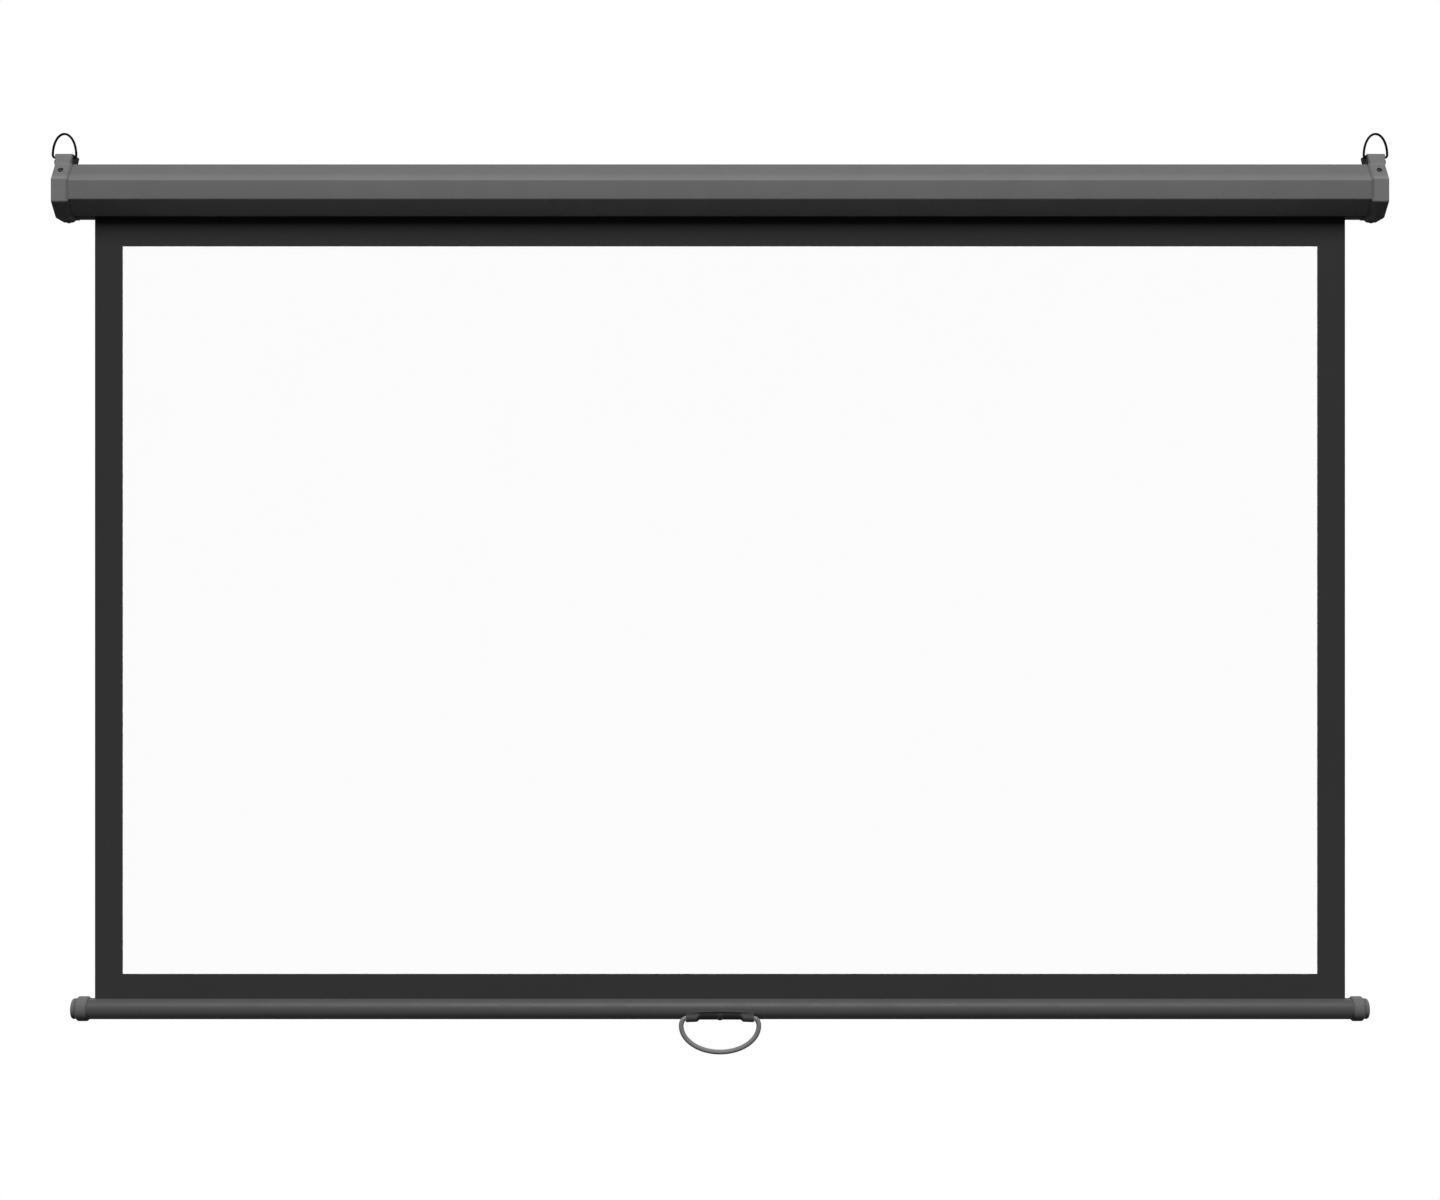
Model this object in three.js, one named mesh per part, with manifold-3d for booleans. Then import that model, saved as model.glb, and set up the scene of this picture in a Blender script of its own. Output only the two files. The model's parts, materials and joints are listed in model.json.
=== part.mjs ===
// A manual pull-down projection screen: an octagonal case with a spring roller inside, and a
// fabric screen with a black border that hangs from it down to a round weight bar with a handle.
//
// Millimetres. X runs along the case, Y from the viewer to the wall, Z up. The origin is the
// middle of the case's back, level with the roller's axis.

import * as THREE from "three";
import { mergeVertices } from "three/addons/utils/BufferGeometryUtils.js";
import Module from "manifold-3d";

const wasm = await Module();
wasm.setup();

// Clearances
const fitGap = 0.1; // between pieces fixed to each other
const runGap = 0.2; // between a turning piece and what carries it
const seatGap = 0.3; // between pieces that meet on a sloping or rounded face
const cutOverrun = 6; // how far a cutting solid passes the faces that it cuts

// Screen fabric
const fabricWidth = 1500;
const fabricThickness = 0.4;
const coatThickness = 0.1; // the white viewing surface
const whiteWidth = 1433;
const whiteHeight = 872.75;
const topBand = 35; // black band between the case and the white area
const bottomBand = 29.25; // black band between the white area and the weight bar
const wrapTurns = 1.5; // fabric left on the roller when the screen is down
const wrapPitch = 0.45; // how much each turn adds to the radius

// Case
const caseDepth = 60;
const caseHeight = 62;
const caseBevelRun = 17;
const caseUpperRise = 22.5;
const caseLowerRise = 17;
const caseCornerRadius = 2.5;
const caseWall = 1.2;
const slotWidth = 10;
const slotLipHeight = 4;
const endRoom = 44; // from the fabric's edge to the end of the case

// End caps
const capProud = 3; // how far a cap stands out round the case
const capWidth = 20;
const capEndWall = 3;
const capBevelRun = 18;
const capUpperRise = 24.3;
const capLowerRise = 16.5;
const capCornerRadius = 3.5;

// Lug that carries a hanger, on top of each cap
const lugFrontInset = 14.5; // from the cap's front, at the lug's root
const lugLean = 3; // how far its front leans back towards the top
const lugDepth = 28.5;
const lugHeight = 9;
const lugChamfer = 1.2;
const lugRibProud = 1.5;
const lugRibHeight = 5;
const eyeFromFront = 8.5; // from the front of the lug's root to the hanger's axis
const eyeFromTop = 3.7;

// Wire hangers
const hangerWire = 2.8;
const hangerWidth = 30.8;
const hangerRise = 29.8;
const hangerBend = 3.2;
const hangerReach = 6; // how far each end goes into the lug

// End plates inside the case, with lugs for the cap screws
const plateThickness = 2.5;
const plateLugWidth = 9;
const plateLugLength = 8; // along the case
const plateLugDepth = 12.5; // along the screw
const lipRoom = 1.5; // clear space round the slot's lips
const socketRadius = 8;
const socketLength = 6;

// Cap screws
const screwInset = 9; // from the cap's outer end
const screwHeadRadius = 2.9;
const screwHeadHeight = 2.2;
const screwShankRadius = 1.5;
const screwShankLength = 9;
const screwCrownShare = 0.35; // share of the head that is domed
const screwRecess = 1; // depth of the cross recess
const screwRecessWidth = 0.8;
const counterboreRadius = 3.5;
const counterboreDepth = 1.6;
const bottomScrewSetback = 23; // from the case's back

// Roller
const rollerSetback = 20; // from the case's back to the roller's axis
const rollerDiameter = 26;
const rollerWall = 0.8;
const rollerSideRoom = 25.3; // from the roller tube's end to the end of the cap
const tapeThickness = 0.3; // tape that holds the fabric to the tube
const tapeArc = 36; // degrees
const plugLength = 24;
const flangeThickness = 2.5;

// Spring motor
const shaftRadius = 3.5;
const shaftLength = 380;
const tongueWidth = 5;
const tongueThickness = 3;
const spigotLength = 14; // the part of the driven plug that holds the spring
const springWire = 2;
const springMeanRadius = 7.8;
const springTurns = 24;
const anchorLength = 14; // collar that ties the spring to the shaft
const anchorPinRadius = 1;
const steadyLength = 12; // bearing plug round the shaft's inner end
const steadyRoom = 6; // from the bearing plug to the spring

// Ratchet and pawls
const ratchetRadius = 6;
const ratchetWidth = 6;
const ratchetRoom = 1; // from the driven plug's flange to the ratchet
const ratchetNotches = 4;
const notchFloorRadius = 4.5;
const notchBackRoom = 0.4; // from the engaged tooth to the notch's sloping side
const notchSwingRoom = 1.7; // from the engaged tooth to the notch's steep side
const notchSlopeRun = 1.2;
const toothTipRadius = 4.9; // from the roller's axis, when engaged
const toothWidth = 2.2;
const toothAngle = 30; // degrees round the roller's axis, from the pawl's pin
const toothRootOrbit = 10;
const pawlSwing = 16; // degrees from engaged to clear of the ratchet
const pawlOrbit = 10.5;
const pawlPinRadius = 1.4;
const pawlHeadRadius = 2.3;
const pawlHeadHeight = 1;
const pawlEyeRadius = 2.9;
const pawlArmWidth = 2.6;
const pawlThickness = 4.5;

// Idler end
const gudgeonRadius = 3;
const gudgeonInside = 20;
const noseRadius = 6;
const noseRoom = 0.8; // end play between the idler plug and the bush
const bushWall = 2;
const bushFlangeRadius = 7.5;
const bushFlangeThickness = 1.6;

// Weight bar, with the fabric's hem round a rod inside it
const barDiameter = 25;
const barWall = 1.5;
const barOverhang = 15; // from the fabric's edge to the bar's end
const barSlotWidth = 3;
const hemRodRadius = 3;
const hemRodInset = 5; // how far inside the fabric's edge the rod ends

// Weight bar's end caps
const barCapRadius = 14.75;
const barCapSleeve = 8.4; // how far the cap goes over the bar
const barCapLip = 0.5;
const barCapChamfer = 1.9;
const barCapRing = 3.9; // from the bar's end to the end of the ring
const barCapCone = 3.4;
const barCapConeRadius = 12.8; // at the cone's small end
const barCapTip = 4.2;
const barCapTipRadius = 12.2;
const barCapRounding = 1.2;
const barCapPlug = 13; // how far the cap goes into the bar

// Handle loop and its bracket
const loopWire = 5.8;
const loopWidth = 98.4;
const loopDrop = 43.1; // from the loop's axis to its lowest point
const loopCornerRun = 5.8;
const loopCornerDrop = 8.7;
const loopReach = 10; // how far each end goes into its boss
const bracketLength = 81;
const bracketWall = 1.9;
const bracketStart = 180; // degrees round the bar: 180 faces the viewer, 270 faces down
const bracketEnd = 232;
const bracketAngle = 213; // where the loop's axis and the screw lie
const bossLength = 15;
const bossWall = 1.5;
const bossChamfer = 2.5;
const bossFloor = 0.65; // between the loop's hole and the bar
const padRadius = 4.9;
const padRise = 0.4;
const bracketHeadRadius = 4;
const bracketHeadHeight = 1.4;
const bracketShankRadius = 1.8;
const bracketShankLength = 8;

// Facets
const barSides = 32;
const roundSides = 24;
const smallSides = 12;
const wireSides = 8;
const springSides = 5;
const springSteps = 8; // per turn
const cornerSteps = 3;
const quarterTurnSteps = 5;
const archSteps = 18;

// Places that follow from the sizes
const radians = THREE.MathUtils.degToRad;
const halfFabric = fabricWidth / 2;
const halfLength = halfFabric + endRoom;
const capInner = halfLength - capWidth;
const caseEnd = halfLength - capEndWall - seatGap;
const caseBottom = -caseHeight / 2;
const capTop = caseHeight / 2 + capProud;
const lugFront = lugFrontInset - caseDepth - capProud;
const lugBack = lugFront + lugDepth;
const lugTop = capTop + lugHeight;
const eyeY = lugFront + eyeFromFront;
const eyeZ = lugTop - eyeFromTop;
const eyeX = halfLength + (lugRibProud - capWidth) / 2;
const screwX = halfLength - screwInset;

const plateOuter = caseEnd;
const plateInner = plateOuter - plateThickness;
const socketFace = plateInner - socketLength;

const rollerY = -rollerSetback;
const rollerRadius = rollerDiameter / 2;
const rollerEnd = halfLength - rollerSideRoom;
const tubeInner = rollerRadius - rollerWall;
const plugRadius = tubeInner - fitGap;
const plugInner = rollerEnd - plugLength;
const flangeOuter = rollerEnd + flangeThickness;
const wrapInner = rollerRadius + tapeThickness + 2 * fitGap;
const wrapOuter = wrapInner + wrapTurns * wrapPitch;

const springInner = springMeanRadius * Math.cos(Math.PI / springSteps) - springWire / 2;
const spigotRadius = springInner - seatGap;
const spigotInner = plugInner - spigotLength;
const shaftInner = socketFace - shaftLength;
const steadyOuter = shaftInner + steadyLength;
const anchorInner = steadyOuter + steadyRoom;
const springStart = anchorInner + springWire;
const springEnd = plugInner - springWire;

const ratchetInner = flangeOuter + ratchetRoom;
const pawlInner = flangeOuter + seatGap;
const pawlOuter = pawlInner + pawlThickness;

const fabricY = rollerY - wrapOuter - fitGap - fabricThickness / 2;
const fabricFront = fabricY - fabricThickness / 2;
const fabricBack = fabricY + fabricThickness / 2;
const slotFront = fabricY - slotWidth / 2;
const slotBack = fabricY + slotWidth / 2;
const lipTop = caseBottom + slotLipHeight;
const whiteTop = caseBottom - topBand;
const whiteBottom = whiteTop - whiteHeight;

const barRadius = barDiameter / 2;
const barInner = barRadius - barWall;
const barZ = whiteBottom - bottomBand - barRadius;
const barEnd = halfFabric + barOverhang;
const hemInner = hemRodRadius + fitGap;
const hemOuter = hemInner + fabricThickness;
const hemZ = barInner - hemOuter - seatGap;

const bracketInner = barRadius + fitGap;
const bracketOuter = bracketInner + bracketWall;
const padOuter = bracketOuter + padRise;
const loopHole = loopWire / 2 + runGap;
const bossRadius = loopHole + bossWall;
const bossOrbit = barRadius + bossFloor + loopHole;

// Materials
function finish(color, roughness, metalness) {
  return new THREE.MeshStandardMaterial({ color, roughness, metalness });
}
const casePaint = finish(0x636363, 0.45, 0.3);
const capPlastic = finish(0x6f6f6f, 0.5, 0);
const darkPlastic = finish(0x3c3c3c, 0.5, 0);
const blackWire = finish(0x151515, 0.35, 0.6);
const greyWire = finish(0x808080, 0.4, 0.5);
const steel = finish(0xb4b6b8, 0.35, 0.9);
const castMetal = finish(0x9a9da0, 0.5, 0.8);
const springSteel = finish(0x55585c, 0.35, 0.9);
const bronze = finish(0xa9824e, 0.45, 0.8);
const blackFabric = finish(0x313131, 0.9, 0);
const whiteFabric = finish(0xf4f4f4, 0.95, 0);
const adhesiveTape = finish(0xc9c4b2, 0.8, 0);

// Drawn outlines have their local x, y and z along the part's Y, Z and X.
const alongX = new THREE.Matrix4().makeBasis(
  new THREE.Vector3(0, 1, 0),
  new THREE.Vector3(0, 0, 1),
  new THREE.Vector3(1, 0, 0),
);
// A lathe's local x, y and z lie along the part's Z, X and Y.
const latheAlongX = new THREE.Matrix4().makeBasis(
  new THREE.Vector3(0, 0, 1),
  new THREE.Vector3(1, 0, 0),
  new THREE.Vector3(0, 1, 0),
);

// Joining and cutting

function toSolid(geometry) {
  const bare = geometry.clone();
  bare.deleteAttribute("normal");
  bare.deleteAttribute("uv");
  const merged = mergeVertices(bare);
  return new wasm.Manifold(
    new wasm.Mesh({
      numProp: 3,
      vertProperties: merged.attributes.position.array,
      triVerts: new Uint32Array(merged.index.array),
    }),
  );
}

function toGeometry(solid) {
  const mesh = solid.getMesh();
  const geometry = new THREE.BufferGeometry();
  geometry.setAttribute("position", new THREE.BufferAttribute(mesh.vertProperties, 3));
  geometry.setIndex(new THREE.BufferAttribute(mesh.triVerts, 1));
  const faceted = geometry.toNonIndexed();
  faceted.computeVertexNormals();
  return faceted;
}

function join(first, ...others) {
  return toGeometry(others.reduce((sum, next) => sum.add(toSolid(next)), toSolid(first)));
}

function cut(first, ...others) {
  return toGeometry(others.reduce((rest, next) => rest.subtract(toSolid(next)), toSolid(first)));
}

function common(first, second) {
  return toGeometry(toSolid(first).intersect(toSolid(second)));
}

// The same piece for the other end of the case.
function mirrored(geometry) {
  const flipped = geometry.index ? geometry.toNonIndexed() : geometry.clone();
  const position = flipped.attributes.position;
  const corner = (i) => new THREE.Vector3().fromBufferAttribute(position, i);
  for (let i = 0; i < position.count; i += 3) {
    const [a, b, c] = [corner(i), corner(i + 1), corner(i + 2)];
    position.setXYZ(i, -a.x, a.y, a.z);
    position.setXYZ(i + 1, -c.x, c.y, c.z);
    position.setXYZ(i + 2, -b.x, b.y, b.z);
  }
  flipped.computeVertexNormals();
  return flipped;
}

// Basic solids

// An outline drawn in Y and Z, from one X to another.
function prism(shape, fromX, toX) {
  const settings = { depth: toX - fromX, bevelEnabled: false, curveSegments: cornerSteps };
  return new THREE.ExtrudeGeometry(shape, settings).applyMatrix4(alongX).translate(fromX, 0, 0);
}

function block(fromX, toX, fromY, toY, fromZ, toZ) {
  const box = new THREE.BoxGeometry(toX - fromX, toY - fromY, toZ - fromZ);
  return box.translate((fromX + toX) / 2, (fromY + toY) / 2, (fromZ + toZ) / 2);
}

// A body of revolution round X, from [x, radius] pairs that end on the axis or close.
function turned(pairs, sides = roundSides) {
  const profile = pairs.map(([x, radius]) => new THREE.Vector2(radius, x));
  return new THREE.LatheGeometry(profile, sides).applyMatrix4(latheAlongX);
}

function rod(fromX, toX, radius, sides = roundSides) {
  const pairs = [
    [fromX, 0],
    [fromX, radius],
    [toX, radius],
    [toX, 0],
  ];
  return turned(pairs, sides);
}

function ring(fromX, toX, innerRadius, outerRadius, sides = roundSides) {
  const pairs = [
    [fromX, innerRadius],
    [fromX, outerRadius],
    [toX, outerRadius],
    [toX, innerRadius],
    [fromX, innerRadius],
  ];
  return turned(pairs, sides);
}

// A point in Y and Z, at an angle that starts at +Y and turns towards +Z.
function polar(radius, degrees) {
  const angle = radians(degrees);
  return new THREE.Vector2(radius * Math.cos(angle), radius * Math.sin(angle));
}

// A wedge round X that spans two angles, out past a radius.
function wedge(fromX, toX, radius, fromDegrees, toDegrees) {
  const reach = 2 * radius;
  const corners = [new THREE.Vector2(), polar(reach, fromDegrees), polar(reach, toDegrees)];
  return prism(new THREE.Shape(corners), fromX, toX);
}

// Turns a piece that stands along +Y to stand along a direction in Y and Z, at a seat.
function standOn(geometry, x, { seat, out }) {
  return geometry.rotateX(Math.atan2(out.y, out.x)).translate(x, seat.x, seat.y);
}

// Case and cap outlines

// Corners of the case's section in Y and Z, from the lower front one round by the bottom.
function octagon(proud, bevelRun, upperRise, lowerRise) {
  const front = -caseDepth - proud;
  const back = proud;
  const bottom = caseBottom - proud;
  const top = -bottom;
  return [
    [front, bottom + lowerRise],
    [front + bevelRun, bottom],
    [back - bevelRun, bottom],
    [back, bottom + lowerRise],
    [back, top - upperRise],
    [back - bevelRun, top],
    [front + bevelRun, top],
    [front, top - upperRise],
  ].map(([y, z]) => new THREE.Vector2(y, z));
}

// The same outline with every side moved in by a distance, or out by a negative one.
function inset(corners, distance) {
  const count = corners.length;
  return corners.map((corner, i) => {
    const before = corner.clone().sub(corners[(i + count - 1) % count]).normalize();
    const after = corners[(i + 1) % count].clone().sub(corner).normalize();
    const inward = new THREE.Vector2(-before.y - after.y, before.x + after.x);
    return corner.clone().addScaledVector(inward, distance / (1 + before.dot(after)));
  });
}

function rounded(corners, radius) {
  const shape = new THREE.Shape();
  const count = corners.length;
  corners.forEach((corner, i) => {
    const toBefore = corners[(i + count - 1) % count].clone().sub(corner);
    const toAfter = corners[(i + 1) % count].clone().sub(corner);
    const reach = Math.min(radius, toBefore.length() / 2, toAfter.length() / 2);
    const start = corner.clone().addScaledVector(toBefore.normalize(), reach);
    const end = corner.clone().addScaledVector(toAfter.normalize(), reach);
    if (i === 0) shape.moveTo(start.x, start.y);
    else shape.lineTo(start.x, start.y);
    shape.quadraticCurveTo(corner.x, corner.y, end.x, end.y);
  });
  shape.closePath();
  return shape;
}

const caseCorners = octagon(0, caseBevelRun, caseUpperRise, caseLowerRise);
const capCorners = octagon(capProud, capBevelRun, capUpperRise, capLowerRise);
const plateOutline = rounded(inset(caseCorners, caseWall + seatGap), caseCornerRadius - caseWall);

// Screws

// A pan-head screw along -Y with the underside of its head at the origin.
function panScrew(headRadius, headHeight, shankRadius, shankLength) {
  const profile = [
    [-shankLength, 0],
    [-shankLength, shankRadius],
    [0, shankRadius],
    [0, headRadius],
    [headHeight * (1 - screwCrownShare), headRadius],
    [headHeight, headRadius * (1 - screwCrownShare)],
    [headHeight, 0],
  ].map(([along, radius]) => new THREE.Vector2(radius, along));
  const body = new THREE.LatheGeometry(profile, smallSides);
  const arm = new THREE.BoxGeometry(headRadius, 2 * screwRecess, screwRecessWidth);
  const crossArm = new THREE.BoxGeometry(screwRecessWidth, 2 * screwRecess, headRadius);
  return cut(body, arm.translate(0, headHeight, 0), crossArm.translate(0, headHeight, 0));
}

// A round hole along a screw, between two distances from the seat of its head.
function screwHole(x, place, radius, from, to) {
  const hole = new THREE.CylinderGeometry(radius, radius, to - from, smallSides);
  return standOn(hole.translate(0, (from + to) / 2, 0), x, place);
}

// The middle of a bevel of the cap, sunk by the depth of a counterbore.
function bevelSeat(lowCorner, highCorner) {
  const along = highCorner.clone().sub(lowCorner).normalize();
  const out = new THREE.Vector2(along.y, -along.x);
  const seat = lowCorner.clone().lerp(highCorner, 0.5).addScaledVector(out, -counterboreDepth);
  return { seat, out };
}

const screwPlaces = {
  rear: bevelSeat(capCorners[4], capCorners[5]),
  front: bevelSeat(capCorners[6], capCorners[7]),
  bottom: {
    seat: new THREE.Vector2(-bottomScrewSetback, caseBottom - capProud),
    out: new THREE.Vector2(0, -1),
  },
};

function capScrewHoles(x = screwX) {
  const radius = screwShankRadius + runGap;
  return Object.values(screwPlaces).map((place) =>
    screwHole(x, place, radius, -screwShankLength - runGap, cutOverrun),
  );
}

// Case

// The case's wall with its slot and lips, from one X to another.
function caseLength(fromX, toX) {
  const [before, after] = [fromX - cutOverrun, toX + cutOverrun];
  const outer = prism(rounded(caseCorners, caseCornerRadius), fromX, toX);
  const innerOutline = rounded(inset(caseCorners, caseWall), caseCornerRadius - caseWall);
  const tube = cut(outer, prism(innerOutline, before, after));
  const frontLip = block(fromX, toX, slotFront - caseWall, slotFront, caseBottom, lipTop);
  const backLip = block(fromX, toX, slotBack, slotBack + caseWall, caseBottom, lipTop);
  const slot = block(before, after, slotFront, slotBack, caseBottom - cutOverrun, lipTop);
  return cut(join(tube, frontLip, backLip), slot);
}

// The open length and the two ends that the caps cover, joined so that the back between the caps
// is a face of its own.
function caseShell() {
  const openEnd = capInner - seatGap;
  return join(
    caseLength(-openEnd, openEnd),
    cut(caseLength(openEnd, caseEnd), ...capScrewHoles()),
    cut(caseLength(-caseEnd, -openEnd), ...capScrewHoles(-screwX)),
  );
}

// End caps, drawn for the right end

function lugOutline() {
  const root = capTop - capProud;
  const shape = new THREE.Shape();
  shape.moveTo(lugFront, root - capProud);
  shape.lineTo(lugBack, root);
  shape.lineTo(lugBack, lugTop - lugChamfer);
  shape.lineTo(lugBack - lugChamfer, lugTop);
  shape.lineTo(lugFront + lugLean + lugChamfer, lugTop);
  shape.lineTo(lugFront + lugLean, lugTop - lugChamfer);
  shape.closePath();
  return shape;
}

function endCap() {
  const ribTop = capTop + lugRibProud;
  const rib = block(
    halfLength - capEndWall,
    halfLength + lugRibProud,
    lugFront + lugLean,
    lugBack - lugChamfer,
    ribTop - lugRibHeight,
    ribTop,
  );
  const body = join(
    prism(rounded(capCorners, capCornerRadius), capInner, halfLength),
    prism(lugOutline(), capInner, halfLength),
    rib,
  );
  const cavityOutline = rounded(inset(caseCorners, -seatGap), caseCornerRadius);
  const cavity = prism(cavityOutline, capInner - cutOverrun, halfLength - capEndWall);
  const eyeRadius = hangerWire / 2 + runGap;
  const eye = rod(capInner - cutOverrun, halfLength + cutOverrun, eyeRadius, smallSides);
  const counterbores = [screwPlaces.front, screwPlaces.rear].map((place) =>
    screwHole(screwX, place, counterboreRadius, 0, cutOverrun),
  );
  return cut(body, cavity, eye.translate(0, eyeY, eyeZ), ...counterbores, ...capScrewHoles());
}

// Wire loops

// A loop in X and Z. Its ends lie along X through the origin, and it rises over a half ellipse.
function wireLoop({ wire, width, rise, cornerRun, cornerRise, endAt }) {
  const half = (width - wire) / 2;
  const archRise = rise - wire / 2 - cornerRise;
  const side = [[endAt, 0]];
  for (let i = 0; i < quarterTurnSteps; i += 1) {
    const angle = ((i / quarterTurnSteps) * Math.PI) / 2;
    const run = cornerRun * (1 - Math.sin(angle));
    side.push([half - run, cornerRise * (1 - Math.cos(angle))]);
  }
  const arch = [];
  for (let i = 0; i <= archSteps; i += 1) {
    const angle = (i / archSteps) * Math.PI;
    arch.push([half * Math.cos(angle), cornerRise + archRise * Math.sin(angle)]);
  }
  const otherSide = side.map(([x, z]) => [-x, z]).reverse();
  const points = [...side, ...arch, ...otherSide].map(([x, z]) => new THREE.Vector3(x, 0, z));
  const corners = Array.from({ length: wireSides }, (_, i) => polar(wire / 2, (i * 360) / wireSides));
  return new THREE.ExtrudeGeometry(new THREE.Shape(corners), {
    steps: points.length,
    bevelEnabled: false,
    extrudePath: new THREE.CatmullRomCurve3(points, false, "centripetal"),
  });
}

function hanger() {
  return wireLoop({
    wire: hangerWire,
    width: hangerWidth,
    rise: hangerRise,
    cornerRun: hangerBend,
    cornerRise: hangerBend,
    endAt: (capWidth + lugRibProud) / 2 - hangerReach,
  });
}

function pullLoop() {
  return wireLoop({
    wire: loopWire,
    width: loopWidth,
    rise: loopDrop,
    cornerRun: loopCornerRun,
    cornerRise: loopCornerDrop,
    endAt: bracketLength / 2 - loopReach,
  });
}

// End plates, drawn for the right end, with the roller's axis at Y and Z zero

function plateBlank() {
  const lugs = Object.values(screwPlaces).map((place) => {
    const length = plateLugLength + plateThickness;
    const lug = new THREE.BoxGeometry(length, plateLugDepth, plateLugWidth);
    return standOn(lug.translate(0, -plateLugDepth / 2, 0), plateOuter - length / 2, place);
  });
  const outline = prism(plateOutline, plateInner - plateLugLength, plateOuter);
  const disc = prism(plateOutline, plateInner, plateOuter);
  const socket = rod(socketFace, plateInner, socketRadius).translate(0, rollerY, 0);
  const lipNotch = block(
    socketFace - plateLugLength,
    plateOuter + cutOverrun,
    slotFront - caseWall - lipRoom,
    slotBack + caseWall + lipRoom,
    caseBottom,
    lipTop + lipRoom,
  );
  return cut(join(disc, common(join(...lugs), outline), socket), lipNotch, ...capScrewHoles());
}

function motorPlate() {
  const halfWidth = tongueWidth / 2 + fitGap;
  const halfThickness = tongueThickness / 2 + fitGap;
  const reach = plateOuter + cutOverrun;
  const keyhole = block(
    socketFace - cutOverrun,
    reach,
    rollerY - halfWidth,
    rollerY + halfWidth,
    -halfThickness,
    halfThickness,
  );
  return cut(plateBlank(), keyhole);
}

const bushInner = gudgeonRadius + runGap;
const bushOuter = bushInner + bushWall;
const bushFace = socketFace - bushFlangeThickness;

function idlerPlate() {
  const bore = rod(socketFace - cutOverrun, plateOuter + cutOverrun, bushOuter + fitGap);
  return cut(plateBlank(), bore.translate(0, rollerY, 0));
}

function idlerBush() {
  return turned([
    [bushFace, bushInner],
    [bushFace, bushFlangeRadius],
    [socketFace, bushFlangeRadius],
    [socketFace, bushOuter],
    [plateOuter, bushOuter],
    [plateOuter, bushInner],
    [bushFace, bushInner],
  ]);
}

// Spring motor, drawn for the right end on the roller's axis

function springShaft() {
  const tongue = block(
    socketFace - fitGap,
    plateOuter,
    -tongueWidth / 2,
    tongueWidth / 2,
    -tongueThickness / 2,
    tongueThickness / 2,
  );
  return cut(join(rod(shaftInner, socketFace, shaftRadius), tongue), anchorHole());
}

function anchorHole() {
  const hole = new THREE.CylinderGeometry(
    anchorPinRadius + fitGap,
    anchorPinRadius + fitGap,
    2 * (springInner + cutOverrun),
    smallSides,
  );
  return hole.translate(anchorInner + anchorLength / 2, 0, 0);
}

function anchorCollar() {
  const collar = ring(anchorInner, anchorInner + anchorLength, shaftRadius + fitGap, spigotRadius);
  return cut(collar, anchorHole());
}

function anchorPin() {
  const length = 2 * spigotRadius * Math.cos(Math.PI / roundSides);
  const pin = new THREE.CylinderGeometry(anchorPinRadius, anchorPinRadius, length, smallSides);
  return pin.translate(anchorInner + anchorLength / 2, 0, 0);
}

class Helix extends THREE.Curve {
  getPoint(share, target = new THREE.Vector3()) {
    const angle = share * springTurns * 2 * Math.PI;
    const along = THREE.MathUtils.lerp(springStart, springEnd, share);
    return target.set(
      along,
      springMeanRadius * Math.cos(angle),
      springMeanRadius * Math.sin(angle),
    );
  }
}

function torsionSpring() {
  const corners = Array.from({ length: springSides }, (_, i) =>
    polar(springWire / 2, (i * 360) / springSides),
  );
  return new THREE.ExtrudeGeometry(new THREE.Shape(corners), {
    steps: springTurns * springSteps,
    bevelEnabled: false,
    extrudePath: new Helix(),
  });
}

function drivenPlug() {
  const bore = shaftRadius + runGap;
  const body = turned([
    [spigotInner, bore],
    [spigotInner, spigotRadius],
    [plugInner, spigotRadius],
    [plugInner, plugRadius],
    [rollerEnd, plugRadius],
    [rollerEnd, rollerRadius],
    [flangeOuter, rollerRadius],
    [flangeOuter, bore],
    [spigotInner, bore],
  ]);
  const holes = pawlAngles.map((degrees) => {
    const place = polar(pawlOrbit, degrees);
    const hole = rod(rollerEnd, flangeOuter + cutOverrun, pawlPinRadius + fitGap, smallSides);
    return hole.translate(0, place.x, place.y);
  });
  return cut(body, ...holes);
}

function steadyPlug() {
  return ring(shaftInner, steadyOuter, shaftRadius + runGap, plugRadius);
}

// Ratchet and pawls, in Y and Z round the roller's axis

const pawlAngles = [90, 270];
const halfTooth = toothWidth / 2;

// A point at a radius along the tooth's own line and a distance to its left.
function besideTooth(pawlDegrees, radius, left) {
  const degrees = pawlDegrees - toothAngle;
  return polar(radius, degrees).add(polar(left, degrees + 90));
}

function ratchetWheel() {
  const wheel = ring(ratchetInner, ratchetInner + ratchetWidth, shaftRadius + fitGap, ratchetRadius);
  const notches = Array.from({ length: ratchetNotches }, (_, i) => {
    const turn = pawlAngles[0] + (i * 360) / ratchetNotches;
    const steepSide = -halfTooth - notchSwingRoom;
    const slopingSide = halfTooth + notchBackRoom;
    const outer = 2 * ratchetRadius - notchFloorRadius;
    const outline = new THREE.Shape([
      besideTooth(turn, notchFloorRadius, steepSide),
      besideTooth(turn, outer, steepSide),
      besideTooth(turn, outer, slopingSide + notchSlopeRun),
      besideTooth(turn, notchFloorRadius, slopingSide),
    ]);
    return prism(outline, ratchetInner - cutOverrun, ratchetInner + ratchetWidth + cutOverrun);
  });
  return cut(wheel, ...notches);
}

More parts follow.
